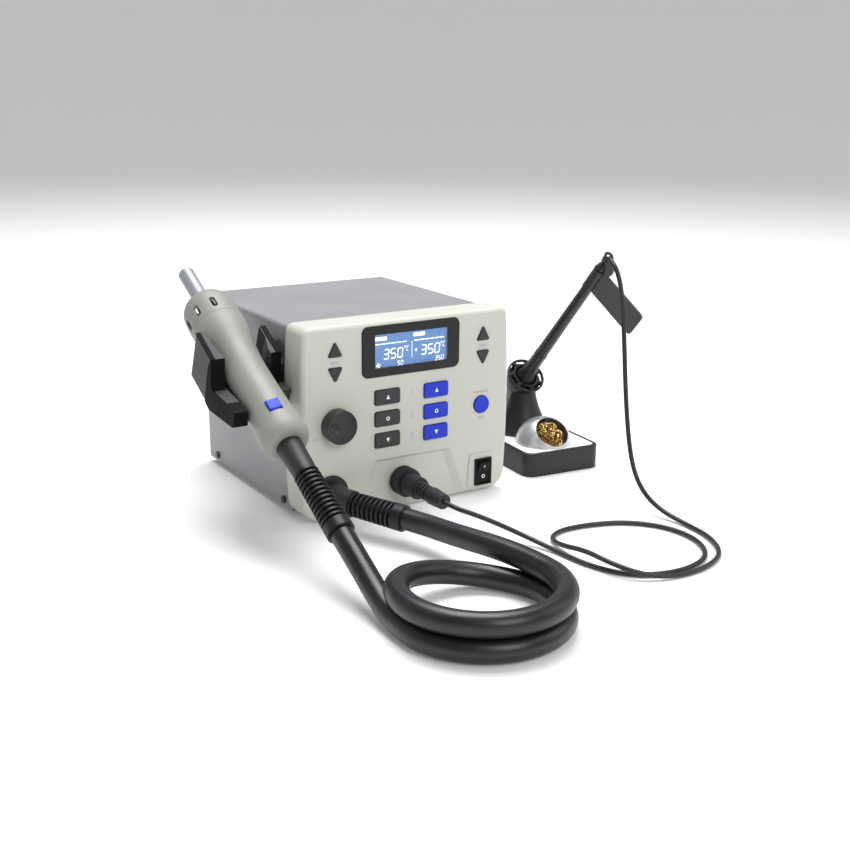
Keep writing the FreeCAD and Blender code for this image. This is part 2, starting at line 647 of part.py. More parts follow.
# ---------------------------------------------------------------- handset, in its own frame
NOZZLE_SEAT = 30.0
CAP_FRONT = 38.0
CAP_BACK = 68.0
CAP_SLOT_PITCH = 40.0
CAP_SLOTS = 8
CAP_SLOT_R = 2.0
CAP_SLOT_SPAN = (55.3, 61.7)
TAIL_END = 191.0
SLEEVE_END = 218.0
RELIEF_END = 271.0
BUTTON_AT = 166.6
BUTTON_SIZE = 9.0
BUTTON_TOP = 16.9
BODY_OUTLINE = [(CAP_BACK + 0.2, 19.2), (76, 19.2), (87, 17.8), (98, 16.1), (110, 15.1), (135, 14.8),
                (160, 15.3), (178, 16.4), (186, 16.1), (TAIL_END - 0.6, 13.4), (TAIL_END, 10.8)]
BODY_WALL = 2.2


def nozzle_tube():
    """Plain seat for a push-on nozzle, a shoulder behind it, and the collar under the cap."""
    seat = ring(6.0, 5.2, V(0, 0, 0), V(0, 0, NOZZLE_SEAT))
    shank = ring(6.5, 5.2, V(0, 0, NOZZLE_SEAT), V(0, 0, 64))
    collar = ring(9.0, 6.4, V(0, 0, 50), V(0, 0, 53))
    return fuse_all([seat, shank, collar]).removeSplitter()


def handset_front_cap():
    """Heat guard with a domed front, open round the nozzle, and slots round all but one side."""
    outside = [(CAP_FRONT, 12.0), (CAP_FRONT + 2.2, 15.6), (CAP_FRONT + 6, 18.0), (CAP_FRONT + 12, 19.1),
               (CAP_FRONT + 20, 19.4), (CAP_BACK, 19.2)]
    cap = turned_smooth(outside)
    inside = turned_smooth([(CAP_FRONT + 2.0, 11.4), (CAP_FRONT + 4, 13.6), (CAP_FRONT + 8, 15.8),
                            (CAP_FRONT + 14, 16.9), (CAP_BACK + 1, 17.1)])
    cap = cap.cut(inside).cut(rod(8.2, V(0, 0, CAP_FRONT - 1), V(0, 0, CAP_BACK)))
    first, last = CAP_SLOT_SPAN
    ends = [rod(CAP_SLOT_R, V(0, 0, z), V(0, 25, z)) for z in CAP_SLOT_SPAN]
    slot = fuse_all(ends + [box(-CAP_SLOT_R, CAP_SLOT_R, 0, 25, first, last)])
    for index in range(CAP_SLOTS):
        cap = cap.cut(slot.rotated(ORIGIN, Z_AXIS, CAP_SLOT_PITCH * index))
    return cap


def handset_body():
    outer = turned_smooth(BODY_OUTLINE)
    inner = [(z, radius - BODY_WALL) for z, radius in BODY_OUTLINE[:-2]]
    inner = [(CAP_BACK - 1, inner[0][1])] + inner[1:]
    body = outer.cut(turned_smooth(inner))
    return body.cut(rod(7.4, V(0, 0, 180), V(0, 0, TAIL_END + 1)))


def handset_upper_shell():
    upper = handset_body().common(box(-40, 40, 0.02, 40, 0, 250))
    half = BUTTON_SIZE / 2 + GAP
    return upper.cut(box(-half, half, 5, 30, BUTTON_AT - half, BUTTON_AT + half))


def handset_lower_shell():
    return handset_body().common(box(-40, 40, -40, -0.02, 0, 250))


def heater_core():
    core = rod(10.0, V(0, 0, 66), V(0, 0, 128))
    for index in range(6):
        hole = rod(1.8, V(5.8, 0, 65), V(5.8, 0, 129))
        core = core.cut(hole.rotated(ORIGIN, Z_AXIS, 60 * index))
    return core


def handset_button():
    half = BUTTON_SIZE / 2
    cap = box(-half, half, 9.8, BUTTON_TOP, BUTTON_AT - half, BUTTON_AT + half)
    cap = cap.makeFillet(0.8, [e for e in cap.Edges if e.BoundBox.YMin > BUTTON_TOP - 0.1])
    flange = box(-half - 1, half + 1, 8.6, 10.2, BUTTON_AT - half - 1, BUTTON_AT + half + 1)
    return cap.fuse(flange).removeSplitter()


def handset_tail_sleeve():
    sleeve = Part.makeCone(9.0, 7.9, SLEEVE_END - TAIL_END + 3, V(0, 0, TAIL_END - 3), Z_AXIS)
    spigot = rod(7.3, V(0, 0, TAIL_END - 6), V(0, 0, TAIL_END + 1))
    outside = sleeve.cut(rod(20, V(0, 0, TAIL_END - 10), V(0, 0, TAIL_END + 0.1)))
    return outside.fuse(spigot).cut(rod(5, V(0, 0, 0), V(0, 0, 300))).removeSplitter()


def handset_strain_relief():
    sleeve = ribbed_sleeve(RELIEF_END - SLEEVE_END - 0.2, 8.5, 9.2, 5.0)
    return sleeve.translated(V(0, 0, SLEEVE_END + 0.2))


# ---------------------------------------------------------------- cradle, in its own frame
CRADLE_LEFT = -27.0
CRADLE_RIGHT = 24.4
CRADLE_PROFILE = [(86.3, 14.8), (115.4, 14.2), (121.6, -4.7), (158.7, 6.3), (162.7, -3.5), (125.1, -20),
                  (89.2, -20)]


RIGHT_WALL_END = 139.0


def cradle_body():
    """Open trough: tall jaws round the shoulder, low walls along the grip."""
    corners = [V(CRADLE_LEFT, y, z) for z, y in CRADLE_PROFILE]
    block = slab(corners, V(CRADLE_RIGHT - CRADLE_LEFT, 0, 0))
    outer_edges = [e for e in block.Edges if e.BoundBox.XLength < 0.1 and e.BoundBox.XMax < 0]
    keel = slab([V(-17, -19, 90.5), V(-17, -19, 124), V(-17, -23.5, 117), V(-17, -23.5, 91)], V(34, 0, 0))
    block = block.makeFillet(1.4, outer_edges).fuse(keel)
    shoulder = rod(19.9, V(0, 0, 80), V(0, 0, 98)).fuse(box(-19.9, 19.9, 0, 40, 80, 98))
    grip = Part.makeCone(19.9, 16.6, 14, V(0, 0, 98), Z_AXIS).fuse(rod(16.9, V(0, 0, 108), V(0, 0, 170)))
    grip_way = slab([V(-19.9, 0, 98), V(19.9, 0, 98), V(16.9, 0, 110), V(16.9, 0, 170), V(-16.9, 0, 170),
                     V(-16.9, 0, 110)], V(0, 40, 0))
    right_end = box(10, CRADLE_RIGHT + 1, -40, 40, RIGHT_WALL_END, 200)
    return block.cut(shoulder).cut(grip).cut(grip_way).cut(right_end).removeSplitter()


def cradle_mount():
    """Spacer block between the cradle and the case side."""
    case_side = -CASE_W / 2 - HANDSET_TIP.x
    return box(CRADLE_RIGHT + 0.05, case_side - 0.05, -20, 6, 92, 118)


# ---------------------------------------------------------------- stand, in its own frame
def rounded_block(width, y0, y1, z0, z1, radius):
    block = box(-width / 2, width / 2, y0, y1, z0, z1)
    upright = [e for e in block.Edges if e.BoundBox.ZLength > (z1 - z0) - 0.01]
    return block.makeFillet(radius, upright)


def stand_base():
    base = rounded_block(STAND_W, 0, STAND_D, 0, STAND_H, 9)
    base = base.makeFillet(1.2, [e for e in base.Edges if e.BoundBox.ZMin > STAND_H - 0.01])
    tray = rounded_block(STAND_W - 6, 3, STAND_D - 3, STAND_H - 1.6, STAND_H + 1, 6.5)
    return base.cut(tray)


DECK_TOP = 18.7


def stand_deck():
    return rounded_block(STAND_W - 6.4, 3.2, STAND_D - 3.2, STAND_H - 1.55, DECK_TOP, 6.3)


def dome_mouth(reach):
    """Point on the axis of the dome's mouth, which faces forward and up."""
    turn = math.radians(DOME_TURN)
    rake = math.radians(DOME_RAKE)
    aim = V(math.sin(turn) * math.cos(rake), -math.cos(turn) * math.cos(rake), math.sin(rake))
    return DOME_AT + aim * reach


def cleaner_dome():
    above = box(-60, 60, -40, 100, DECK_TOP, 80)
    shell = Part.makeSphere(DOME_R, DOME_AT).cut(Part.makeSphere(DOME_R - DOME_SKIN, DOME_AT))
    return shell.common(above).cut(rod(MOUTH_R, dome_mouth(10), dome_mouth(40)))


def brass_wool():
    above = box(-60, 60, -40, 100, DECK_TOP, 80)
    return Part.makeSphere(DOME_R - DOME_SKIN - 0.3, DOME_AT).common(above)


def pillar_profile():
    return [(DECK_TOP, 25.0), (22, 22.4), (28, 18.9), (36, 15.3), (45, 12.2), (54, 10.6)]


def hub_outside():
    """Outer shape of the holder behind its flange, in the iron frame."""
    return turned([(-52, 0), (-52, 6.4), (-28, 7.6), (-20, 10.2), (-12, 13.0), (-5, 14.0), (-1, 14.0),
                   (-1, 0)])


def stand_pillar():
    pillar = turned_smooth(pillar_profile()).translated(V(0, 66, 0))
    hub_room = placed(hub_outside(), STAND.inverse().multiply(IRON))
    dome_room = Part.makeSphere(DOME_R + 0.1, DOME_AT)
    return pillar.cut(hub_room).cut(dome_room)


def stand_hub():
    """Holder: a round cup behind a flange with a ring of oval vents."""
    flange = rod(16.2, V(0, 0, -1), V(0, 0, 1.6))
    flange = flange.makeFillet(0.9, [e for e in flange.Edges if e.BoundBox.ZMin > 1.5])
    hub = hub_outside().fuse(flange)
    hub = hub.cut(turned([(-50, 0), (-50, 4.6), (-8, 4.6), (-5.5, 9.0), (2, 9.6), (2, 0)]))
    half = VENT_REACH
    ends = [rod(1.7, V(x, 12.7, -2.6), V(x, 12.7, 3)) for x in (-half, half)]
    vent = fuse_all(ends + [box(-half, half, 11.0, 14.4, -2.6, 3)])
    for index in range(HUB_VENTS):
        hub = hub.cut(vent.rotated(ORIGIN, Z_AXIS, 360 / HUB_VENTS * index))
    return hub.removeSplitter()


# ---------------------------------------------------------------- iron, in its own frame
HANDLE_END = 146.0
EYE_AT = 156.4
FLAG_TILT = 19.0


def iron_bit():
    """Heater barrel and its pointed bit."""
    barrel = rod(3.2, V(0, 0, -30), V(0, 0, -6))
    bit = Part.makeCone(0.4, 2.4, 14, V(0, 0, -44), Z_AXIS)
    return barrel.fuse(bit).removeSplitter()


def iron_grip():
    return turned_smooth([(-5.0, 5.0), (-3.2, 7.2), (-1, 8.2), (2, 7.6), (8, 5.9), (16, 5.4), (26, 5.3),
                          (34, 5.3)])


def iron_handle():
    return Part.makeCone(5.0, 3.9, HANDLE_END - 34.2, V(0, 0, 34.2), Z_AXIS)


def cord_keeper():
    """Clip on the handle's tail with a cord eye on a narrow web, and a flat paddle."""
    clip = ring(5.4, 4.2, V(0, 0, 121), V(0, 0, 143))
    web = slab([V(-1.1, -4.5, 138), V(-1.1, -4.5, HANDLE_END + 0.4), V(-1.1, -1.5, HANDLE_END + 0.4),
                V(-1.1, 1.0, 153.8), V(-1.1, -2.4, 154.6), V(-1.1, -5.3, 150), V(-1.1, -5.3, 138)],
               V(2.2, 0, 0))
    eye = Part.makeTorus(2.8, 1.2, V(0, 0, EYE_AT), X_AXIS)
    paddle = box(-0.8, 0.8, -43.5, 0, 0, 22.4)
    outer = [e for e in paddle.Edges if e.BoundBox.XLength > 1 and e.BoundBox.YMax < -40]
    paddle = paddle.makeFillet(3, outer)
    paddle = paddle.rotated(ORIGIN, Z_AXIS, FLAG_TILT).translated(V(1.4, -4.9, 121))
    return fuse_all([clip, paddle, web, eye])


# ---------------------------------------------------------------- hose and cord routes
COIL_CENTRE = V(-66.6, -277.5, 0)
COIL_R = 48.7


def coil_point(angle, z):
    turn = math.radians(angle)
    return COIL_CENTRE + V(COIL_R * math.cos(turn), COIL_R * math.sin(turn), z)


def hose_coil():
    """Outer shape of the stacked hose turns as one closed solid."""
    radius = HOSE_D / 2
    lower = Part.makeTorus(COIL_R, radius - 0.1, COIL_CENTRE + V(0, 0, radius), Z_AXIS)
    upper = Part.makeTorus(COIL_R, radius - 0.1, COIL_CENTRE + V(0, 0, 3 * radius), Z_AXIS)
    web = ring(COIL_R + 4, COIL_R - 4, COIL_CENTRE + V(0, 0, radius), COIL_CENTRE + V(0, 0, 3 * radius))
    return fuse_all([lower, upper, web])


def hose_panel_run():
    start = panel_relief_frame().multVec(V(0, 0, RELIEF_LENGTH + 0.4))
    route = [start, V(-34.8, -165.5, 18.0), V(-32.2, -185, 19.2), V(-29.6, -208, 21.4), V(-24.5, -231, 22.8),
             V(-19.9, -253, 22.8), coil_point(4, 22.5)]
    return route_tube("hose_panel_run", route, HOSE_D)


def hose_handset_run():
    start = HANDSET.multVec(V(0, 0, RELIEF_END + GAP))
    route = [start, V(-112, -214, 25.8), V(-112.6, -236, 14.8), V(-114.4, -257, 7.9), coil_point(180, 7.5)]
    return route_tube("hose_handset_run", route, HOSE_D)


def iron_cord():
    x, z = SOCKET
    low = CORD_D / 2 + 0.05
    over = 8.4
    route = [V(x, PLUG_BOOT_END_Y - 0.4, z), V(-5.0, -158, 21.2), V(5, -166.5, 17.6), V(19, -179, 11),
             V(31, -195, 4.6), V(37, -216, low), V(38.5, -240, low), V(46, -264, low), V(64, -280, low),
             V(90, -284.5, low), V(117, -276, low), V(133, -251, low), V(131.5, -221, low), V(113, -199, low),
             V(86, -189.5, low), V(62, -188, low), V(47, -197, low), V(43.5, -214, 3.4), V(43.2, -238, over),
             V(43.6, -263, over), V(56, -281, 3.8), V(77, -289.5, low), V(104, -288.5, low),
             V(129, -276.5, low), V(144, -251, low), V(147, -222, low), V(144.2, -203, 5), V(140.8, -188, 13),
             V(139.4, -176.5, 27), V(139.2, -169, 48), V(139.6, -162, 84), V(140.2, -157, 120),
             V(140.7, -152.8, 146), V(141.1, -148.6, 161.5), V(141.4, -143.6, 170.8), V(142.0, -138.2, 175.6)]
    return route_tube("iron_cord", route, CORD_D)


# ---------------------------------------------------------------- export
STATION_NODES = {
    "base_tray": base_tray, "top_cover": top_cover, "case_screws": case_screws, "rear_panel": rear_panel,
    "mains_inlet": mains_inlet, "rubber_feet": rubber_feet, "front_panel": front_panel,
    "lcd_frame": lcd_frame, "lcd_window": lcd_window, "lcd_module": lcd_module,
    "panel_board": panel_board, "airflow_knob": airflow_knob,
    "rocker_frame": rocker_frame, "power_rocker": power_rocker, "iron_socket": iron_socket,
    "plug_shell": plug_shell, "plug_ring": plug_ring,
    "blower_housing": blower_housing, "blower_impeller": blower_impeller, "blower_motor": blower_motor,
    "air_duct": air_duct, "panel_boot": panel_boot, "panel_strain_relief": panel_strain_relief,
    "transformer": transformer, "power_board": power_board, "hose_coil": hose_coil,
    "hose_panel_run": hose_panel_run, "hose_handset_run": hose_handset_run, "iron_cord": iron_cord}
HANDSET_NODES = {
    "nozzle_tube": nozzle_tube, "handset_front_cap": handset_front_cap,
    "handset_upper_shell": handset_upper_shell, "handset_lower_shell": handset_lower_shell,
    "heater_core": heater_core, "handset_button": handset_button,
    "handset_tail_sleeve": handset_tail_sleeve, "handset_strain_relief": handset_strain_relief}
CRADLE_NODES = {"cradle_body": cradle_body, "cradle_mount": cradle_mount}
STAND_NODES = {
    "stand_base": stand_base, "stand_deck": stand_deck, "cleaner_dome": cleaner_dome,
    "brass_wool": brass_wool, "stand_pillar": stand_pillar}
IRON_NODES = {
    "stand_hub": stand_hub, "iron_bit": iron_bit, "iron_grip": iron_grip, "iron_handle": iron_handle,
    "cord_keeper": cord_keeper}


def all_nodes():
    groups = ((STATION_NODES, FreeCAD.Placement()), (HANDSET_NODES, HANDSET), (CRADLE_NODES, CRADLE),
              (STAND_NODES, STAND), (IRON_NODES, IRON))
    nodes = {}
    for makers, frame in groups:
        for name, maker in makers.items():
            nodes[name] = placed(maker(), frame)
    for name, outline in key_shapes().items():
        nodes[name] = key(outline)
    return nodes


def main():
    os.makedirs("parts", exist_ok=True)
    nodes = all_nodes()
    for name, shape in nodes.items():
        if not shape.isValid():
            print("not valid:", name)
        shape.translate(EXPORT_SHIFT)
        shape.exportStep(f"parts/{name}.step")
    print(len(nodes), "nodes")


main()
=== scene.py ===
import math
import random

import bmesh
import bpy
from mathutils import Matrix, Vector


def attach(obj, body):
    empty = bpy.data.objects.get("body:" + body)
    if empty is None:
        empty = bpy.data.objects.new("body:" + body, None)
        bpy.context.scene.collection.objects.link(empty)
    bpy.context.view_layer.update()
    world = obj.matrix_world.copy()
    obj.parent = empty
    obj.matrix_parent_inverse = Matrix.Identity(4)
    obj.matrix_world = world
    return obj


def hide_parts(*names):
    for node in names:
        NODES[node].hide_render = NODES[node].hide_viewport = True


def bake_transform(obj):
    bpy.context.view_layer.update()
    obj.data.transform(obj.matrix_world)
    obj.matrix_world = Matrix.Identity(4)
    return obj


# Visual model of the rework station. Lengths are given in millimetres about the middle of
# the station, as in the CAD source, and turned into metres in the row frame by at().

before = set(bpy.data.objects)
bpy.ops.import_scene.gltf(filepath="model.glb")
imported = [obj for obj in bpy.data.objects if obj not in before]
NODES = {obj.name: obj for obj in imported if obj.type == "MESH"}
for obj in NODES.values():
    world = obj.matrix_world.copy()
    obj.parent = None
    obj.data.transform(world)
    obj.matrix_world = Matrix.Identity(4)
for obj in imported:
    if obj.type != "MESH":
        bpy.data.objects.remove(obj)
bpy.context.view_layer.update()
SHIFT = Vector((68.0, 50.0, 0.0))
MM = 0.001


def at(x, y, z):
    """Row-frame point, in metres, of a point given in the station's millimetres."""
    return (Vector((x, y, z)) + SHIFT) * MM


def turned(degrees, axis):
    return Matrix.Rotation(math.radians(degrees), 4, axis)


# Local frames in millimetres, as in the CAD source. +Z runs along the handset to its tail,
# along the iron to its cord, and along the panel's strain relief away from the elbow.
CRADLE = Matrix.Translation((-112.0, 46.6, 161.5)) @ turned(117.5, "X")
HANDSET = CRADLE @ turned(12.0, "Z")
STAND = Matrix.Translation((148.0, -85.5, 0.0)) @ turned(-5.0, "Z")
IRON = STAND @ Matrix.Translation((0.0, 62.4, 65.8)) @ turned(43.7, "X")
ELBOW_TURN = 27.0
ELBOW_R = 22.0
ELBOW_STRAIGHT = 10.0
ELBOW_STUB = 5.2


def panel_relief_frame():
    turn = math.radians(ELBOW_TURN)
    direction = Vector((math.sin(turn), -math.cos(turn), 0.0))
    end = Vector((ELBOW_R * (1 - math.cos(turn)), -ELBOW_STRAIGHT - ELBOW_R * math.sin(turn), 0.0))
    aim = direction.to_track_quat("Z", "Y").to_matrix().to_4x4()
    elbow = Matrix.Translation((-65.0, -90.0, 22.3)) @ turned(3.5, "X")
    return elbow @ Matrix.Translation(end + direction * ELBOW_STUB) @ aim


# ---------------------------------------------------------------- camera
CAMERA_AT = at(-427.6, -787.2, 300.8)
CAMERA_YAW = 32.274
CAMERA_PITCH = 16.231
CAMERA_ROLL = -0.520
LENS = 50.0
SENSOR_W = 36.0
scene = bpy.context.scene


def make_camera():
    yaw, pitch, roll = (math.radians(a) for a in (CAMERA_YAW, CAMERA_PITCH, CAMERA_ROLL))
    forward = Vector((math.sin(yaw) * math.cos(pitch), math.cos(yaw) * math.cos(pitch), -math.sin(pitch)))
    level = Vector((math.cos(yaw), -math.sin(yaw), 0.0))
    right = Matrix.Rotation(roll, 3, forward) @ level
    up = right.cross(forward)
    data = bpy.data.cameras.new("camera")
    data.lens = LENS
    data.sensor_width = SENSOR_W
    data.clip_start = 0.01
    camera = bpy.data.objects.new("camera", data)
    scene.collection.objects.link(camera)
    basis = Matrix((right, up, -forward)).transposed()
    camera.matrix_world = Matrix.Translation(CAMERA_AT) @ basis.to_4x4()
    scene.camera = camera


make_camera()

# ---------------------------------------------------------------- cord routes
HOSE_D = 15.0
HOSE_SIDES = 40
HOSE_STEPS = 8
CORD_D = 3.4
CORD_SIDES = 16
CORD_STEPS = 10
COIL_CENTRE = Vector((-66.6, -277.5, 0.0))
COIL_R = 48.7
COIL_STEP = 15.0
COIL_START = 725.0
COIL_END = 180.0
COIL_RISE = (390.0, 520.0)
HOSE_LOW = 7.5
HOSE_HIGH = 22.5

PANEL_RUN = [(-41.0, -152.3, 18.5), (-34.8, -165.5, 18.0), (-32.2, -185, 19.2), (-29.6, -208, 21.4),
             (-24.5, -231, 22.8), (-19.9, -253, 22.8)]
HANDSET_RUN = [(-114.4, -257, 7.9), (-112.6, -236, 14.8), (-112, -214, 25.8), (-112, -194.0, 36.2)]
IRON_RUN = [(-6.5, -146.4, 22.3), (-5.0, -158, 21.2), (5, -166.5, 17.6), (19, -179, 11), (31, -195, 4.6),
            (37, -216, 1.75), (38.5, -240, 1.75), (46, -264, 1.75), (64, -280, 1.75), (90, -284.5, 1.75),
            (117, -276, 1.75), (133, -251, 1.75), (131.5, -221, 1.75), (113, -199, 1.75),
            (86, -189.5, 1.75), (62, -188, 1.75), (47, -197, 1.75), (43.5, -214, 3.4), (43.2, -238, 8.4),
            (43.6, -263, 8.4), (56, -281, 3.8), (77, -289.5, 1.75), (104, -288.5, 1.75),
            (129, -276.5, 1.75), (144, -251, 1.75), (147, -222, 1.75), (144.2, -203, 5), (140.8, -188, 13),
            (139.4, -176.5, 27), (139.2, -169, 48), (139.6, -162, 84), (140.2, -157, 120),
            (140.7, -152.8, 146), (141.1, -148.6, 161.5), (141.4, -143.6, 170.8), (142.0, -138.2, 175.6),
            (143.4, -132.4, 178.7)]


def coil_turns():
    """Control points of the hose's turns, from the upper turn down to the lower one."""
    grow = 1.0 / (1.0 - (1.0 - math.cos(math.radians(COIL_STEP))) / 4.0)
    points = []
    angle = COIL_START
    while angle >= COIL_END - 0.01:
        rise = min(max((angle - COIL_RISE[0]) / (COIL_RISE[1] - COIL_RISE[0]), 0.0), 1.0)
        z = HOSE_LOW + (HOSE_HIGH - HOSE_LOW) * rise * rise * (3 - 2 * rise)
        turn = math.radians(angle)
        reach = COIL_R * grow
        points.append((COIL_CENTRE.x + reach * math.cos(turn), COIL_CENTRE.y + reach * math.sin(turn), z))
        angle -= COIL_STEP
    return points


def spline_line(name, points, resolution):
    """Points along a smooth NURBS line through the route, in metres."""
    curve = bpy.data.curves.new(name, "CURVE")
    curve.dimensions = "3D"
    curve.resolution_u = resolution
    spline = curve.splines.new("NURBS")
    spline.points.add(len(points) - 1)
    for point, co in zip(spline.points, points):
        point.co = (*at(*co), 1.0)
    spline.order_u = 3
    spline.use_endpoint_u = True
    holder = bpy.data.objects.new(name, curve)
    scene.collection.objects.link(holder)
    mesh = bpy.data.meshes.new_from_object(holder)
    line = [v.co.copy() for v in mesh.vertices]
    bpy.data.objects.remove(holder)
    bpy.data.meshes.remove(mesh)
    bpy.data.curves.remove(curve)
    return line


SHARP_ANGLE = 35.0
TUBE_ANGLE = 50.0


def link(name, mesh, material=None):
    obj = bpy.data.objects.new(name, mesh)
    scene.collection.objects.link(obj)
    if material:
        mesh.materials.append(material)
    return obj


def smooth(mesh, angle=SHARP_ANGLE):
    mesh.shade_smooth()
    mesh.set_sharp_from_angle(angle=math.radians(angle))


def tube(name, line, radius, sides):
    """Mesh tube along points, with sections carried along without twist."""
    verts = []
    faces = []
    tangent = (line[1] - line[0]).normalized()
    side = tangent.orthogonal().normalized()
    for index, point in enumerate(line):
        ahead = line[min(index + 1, len(line) - 1)] - line[max(index - 1, 0)]
        tangent = ahead.normalized()
        side = (side - tangent * side.dot(tangent)).normalized()
        other = tangent.cross(side)
        for k in range(sides):
            angle = 2 * math.pi * k / sides
            verts.append(point + (side * math.cos(angle) + other * math.sin(angle)) * radius)
    for ring in range(len(line) - 1):
        for k in range(sides):
            a = ring * sides + k
            b = ring * sides + (k + 1) % sides
            faces.append((a, b, b + sides, a + sides))
    faces.append(tuple(range(sides - 1, -1, -1)))
    last = (len(line) - 1) * sides
    faces.append(tuple(range(last, last + sides)))
    mesh = bpy.data.meshes.new(name)
    mesh.from_pydata(verts, [], faces)
    smooth(mesh, TUBE_ANGLE)
    return link(name, mesh)


hose_line = spline_line("hose_route", PANEL_RUN + coil_turns() + HANDSET_RUN, HOSE_STEPS)
air_hose = tube("air_hose", hose_line, HOSE_D / 2 * MM, HOSE_SIDES)
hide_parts("hose_panel_run", "hose_coil", "hose_handset_run")
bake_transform(air_hose)

cord_line = spline_line("cord_route", IRON_RUN, CORD_STEPS)
iron_lead = tube("iron_lead", cord_line, CORD_D / 2 * MM, CORD_SIDES)
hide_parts("iron_cord")
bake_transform(iron_lead)


# ---------------------------------------------------------------- materials
def material(name, color, rough=0.5, metal=0.0, grain=0.0, grain_scale=900.0, bevel=0.0, tone=0.04, spec=0.5,
             stretch=None, rough_vary=0.06):
    """Principled material with procedural tone, roughness and fine surface grain."""
    mat = bpy.data.materials.new(name)
    mat.use_nodes = True
    nodes = mat.node_tree.nodes
    links = mat.node_tree.links
    shader = nodes["Principled BSDF"]
    shader.inputs["Metallic"].default_value = metal
    shader.inputs["Specular IOR Level"].default_value = spec
    where = nodes.new("ShaderNodeTexCoord")
    mapping = nodes.new("ShaderNodeMapping")
    if stretch:
        mapping.inputs["Scale"].default_value = stretch
    links.new(where.outputs["Object"], mapping.inputs["Vector"])
    broad = nodes.new("ShaderNodeTexNoise")
    broad.inputs["Scale"].default_value = 22.0
    broad.inputs["Detail"].default_value = 4.0
    links.new(mapping.outputs["Vector"], broad.inputs["Vector"])
    fine = nodes.new("ShaderNodeTexNoise")
    fine.inputs["Scale"].default_value = grain_scale
    fine.inputs["Detail"].default_value = 3.0
    links.new(mapping.outputs["Vector"], fine.inputs["Vector"])
    ramp = nodes.new("ShaderNodeMapRange")
    ramp.inputs["From Min"].default_value = 0.3
    ramp.inputs["From Max"].default_value = 0.7
    ramp.inputs["To Min"].default_value = 1.0 - tone
    ramp.inputs["To Max"].default_value = 1.0 + tone
    links.new(broad.outputs["Fac"], ramp.inputs["Value"])
    tint = nodes.new("ShaderNodeVectorMath")
    tint.operation = "SCALE"
    tint.inputs[0].default_value = color[:3]
    links.new(ramp.outputs["Result"], tint.inputs["Scale"])
    links.new(tint.outputs["Vector"], shader.inputs["Base Color"])
    shine = nodes.new("ShaderNodeMapRange")
    shine.inputs["From Min"].default_value = 0.35
    shine.inputs["From Max"].default_value = 0.65
    shine.inputs["To Min"].default_value = max(rough - rough_vary, 0.02)
    shine.inputs["To Max"].default_value = min(rough + rough_vary, 1.0)
    links.new(broad.outputs["Fac"], shine.inputs["Value"])
    links.new(shine.outputs["Result"], shader.inputs["Roughness"])
    normal = None
    if bevel:
        edge = nodes.new("ShaderNodeBevel")
        edge.samples = 6
        edge.inputs["Radius"].default_value = bevel * MM
        normal = edge.outputs["Normal"]
    if grain:
        bump = nodes.new("ShaderNodeBump")
        bump.inputs["Strength"].default_value = grain
        bump.inputs["Distance"].default_value = 0.0002
        links.new(fine.outputs["Fac"], bump.inputs["Height"])
        if normal:
            links.new(normal, bump.inputs["Normal"])
        normal = bump.outputs["Normal"]
    if normal:
        links.new(normal, shader.inputs["Normal"])
    return mat


def flat_material(name, color, rough=0.5, glow=0.0):
    """Plain printed ink or lit segment."""
    mat = bpy.data.materials.new(name)
    mat.use_nodes = True
    shader = mat.node_tree.nodes["Principled BSDF"]
    shader.inputs["Base Color"].default_value = (*color, 1.0)
    shader.inputs["Roughness"].default_value = rough
    if glow:
        shader.inputs["Emission Color"].default_value = (*color, 1.0)
        shader.inputs["Emission Strength"].default_value = glow
    return mat


PANEL_GREY = material("panel_plastic", (0.56, 0.555, 0.50), 0.48, grain=0.25, bevel=0.5, tone=0.015)
HANDSET_GREY = material("handset_plastic", (0.262, 0.260, 0.238), 0.48, grain=0.18, bevel=0.3, tone=0.02)
CASE_PAINT = material("case_paint", (0.27, 0.275, 0.285), 0.42, metal=0.1, grain=0.5, grain_scale=1600.0,
                      bevel=0.4, tone=0.02)
TRAY_PAINT = material("tray_paint", (0.16, 0.162, 0.168), 0.5, grain=0.5, grain_scale=1600.0, bevel=0.3)
KEY_DARK = material("key_dark", (0.030, 0.030, 0.028), 0.5, grain=0.2, spec=0.4, bevel=0.25)
KEY_BLUE = material("key_blue", (0.018, 0.041, 0.54), 0.45, spec=0.25, grain=0.15, bevel=0.25, tone=0.02)
KNOB_DARK = material("knob_plastic", (0.022, 0.022, 0.0212), 0.36, spec=0.4, grain=0.15, bevel=0.35)
RUBBER = material("hose_rubber", (0.0062, 0.0068, 0.0080), 0.33, grain=0.5, grain_scale=1300.0, tone=0.10)
RELIEF = material("relief_rubber", (0.0070, 0.0070, 0.0078), 0.42, spec=0.35, grain=0.3, bevel=0.25,
                  tone=0.08)
BOOT = material("boot_rubber", (0.0135, 0.014, 0.0137), 0.5, grain=0.4, bevel=0.4, tone=0.06)
CORD = material("cord_rubber", (0.013, 0.014, 0.016), 0.42, grain=0.2, tone=0.06)
CRADLE_GREY = material("cradle_plastic", (0.050, 0.051, 0.054), 0.50, spec=0.22, grain=0.5,
                       grain_scale=1200.0, bevel=0.6)
# Near-black colour of the cradle's jaw edging and low walls: painted shade on the rims and walls.
LINER_SHADE = material("liner_painted_shade", (0.0050, 0.0050, 0.0056), 0.65, spec=0.08, grain=0.4, bevel=0.4)
STAND_GREY = material("stand_plastic", (0.0175, 0.0178, 0.0194), 0.42, spec=0.35, grain=0.4,
                      grain_scale=1200.0, bevel=0.5)
HUB = material("hub_plastic", (0.0085, 0.0085, 0.0093), 0.36, spec=0.4, grain=0.3, bevel=0.35)
KEEPER = material("keeper_plastic", (0.070, 0.071, 0.075), 0.45, grain=0.3, bevel=0.3)
IRON_BODY = material("iron_plastic", (0.013, 0.013, 0.0145), 0.34, grain=0.2, bevel=0.3)
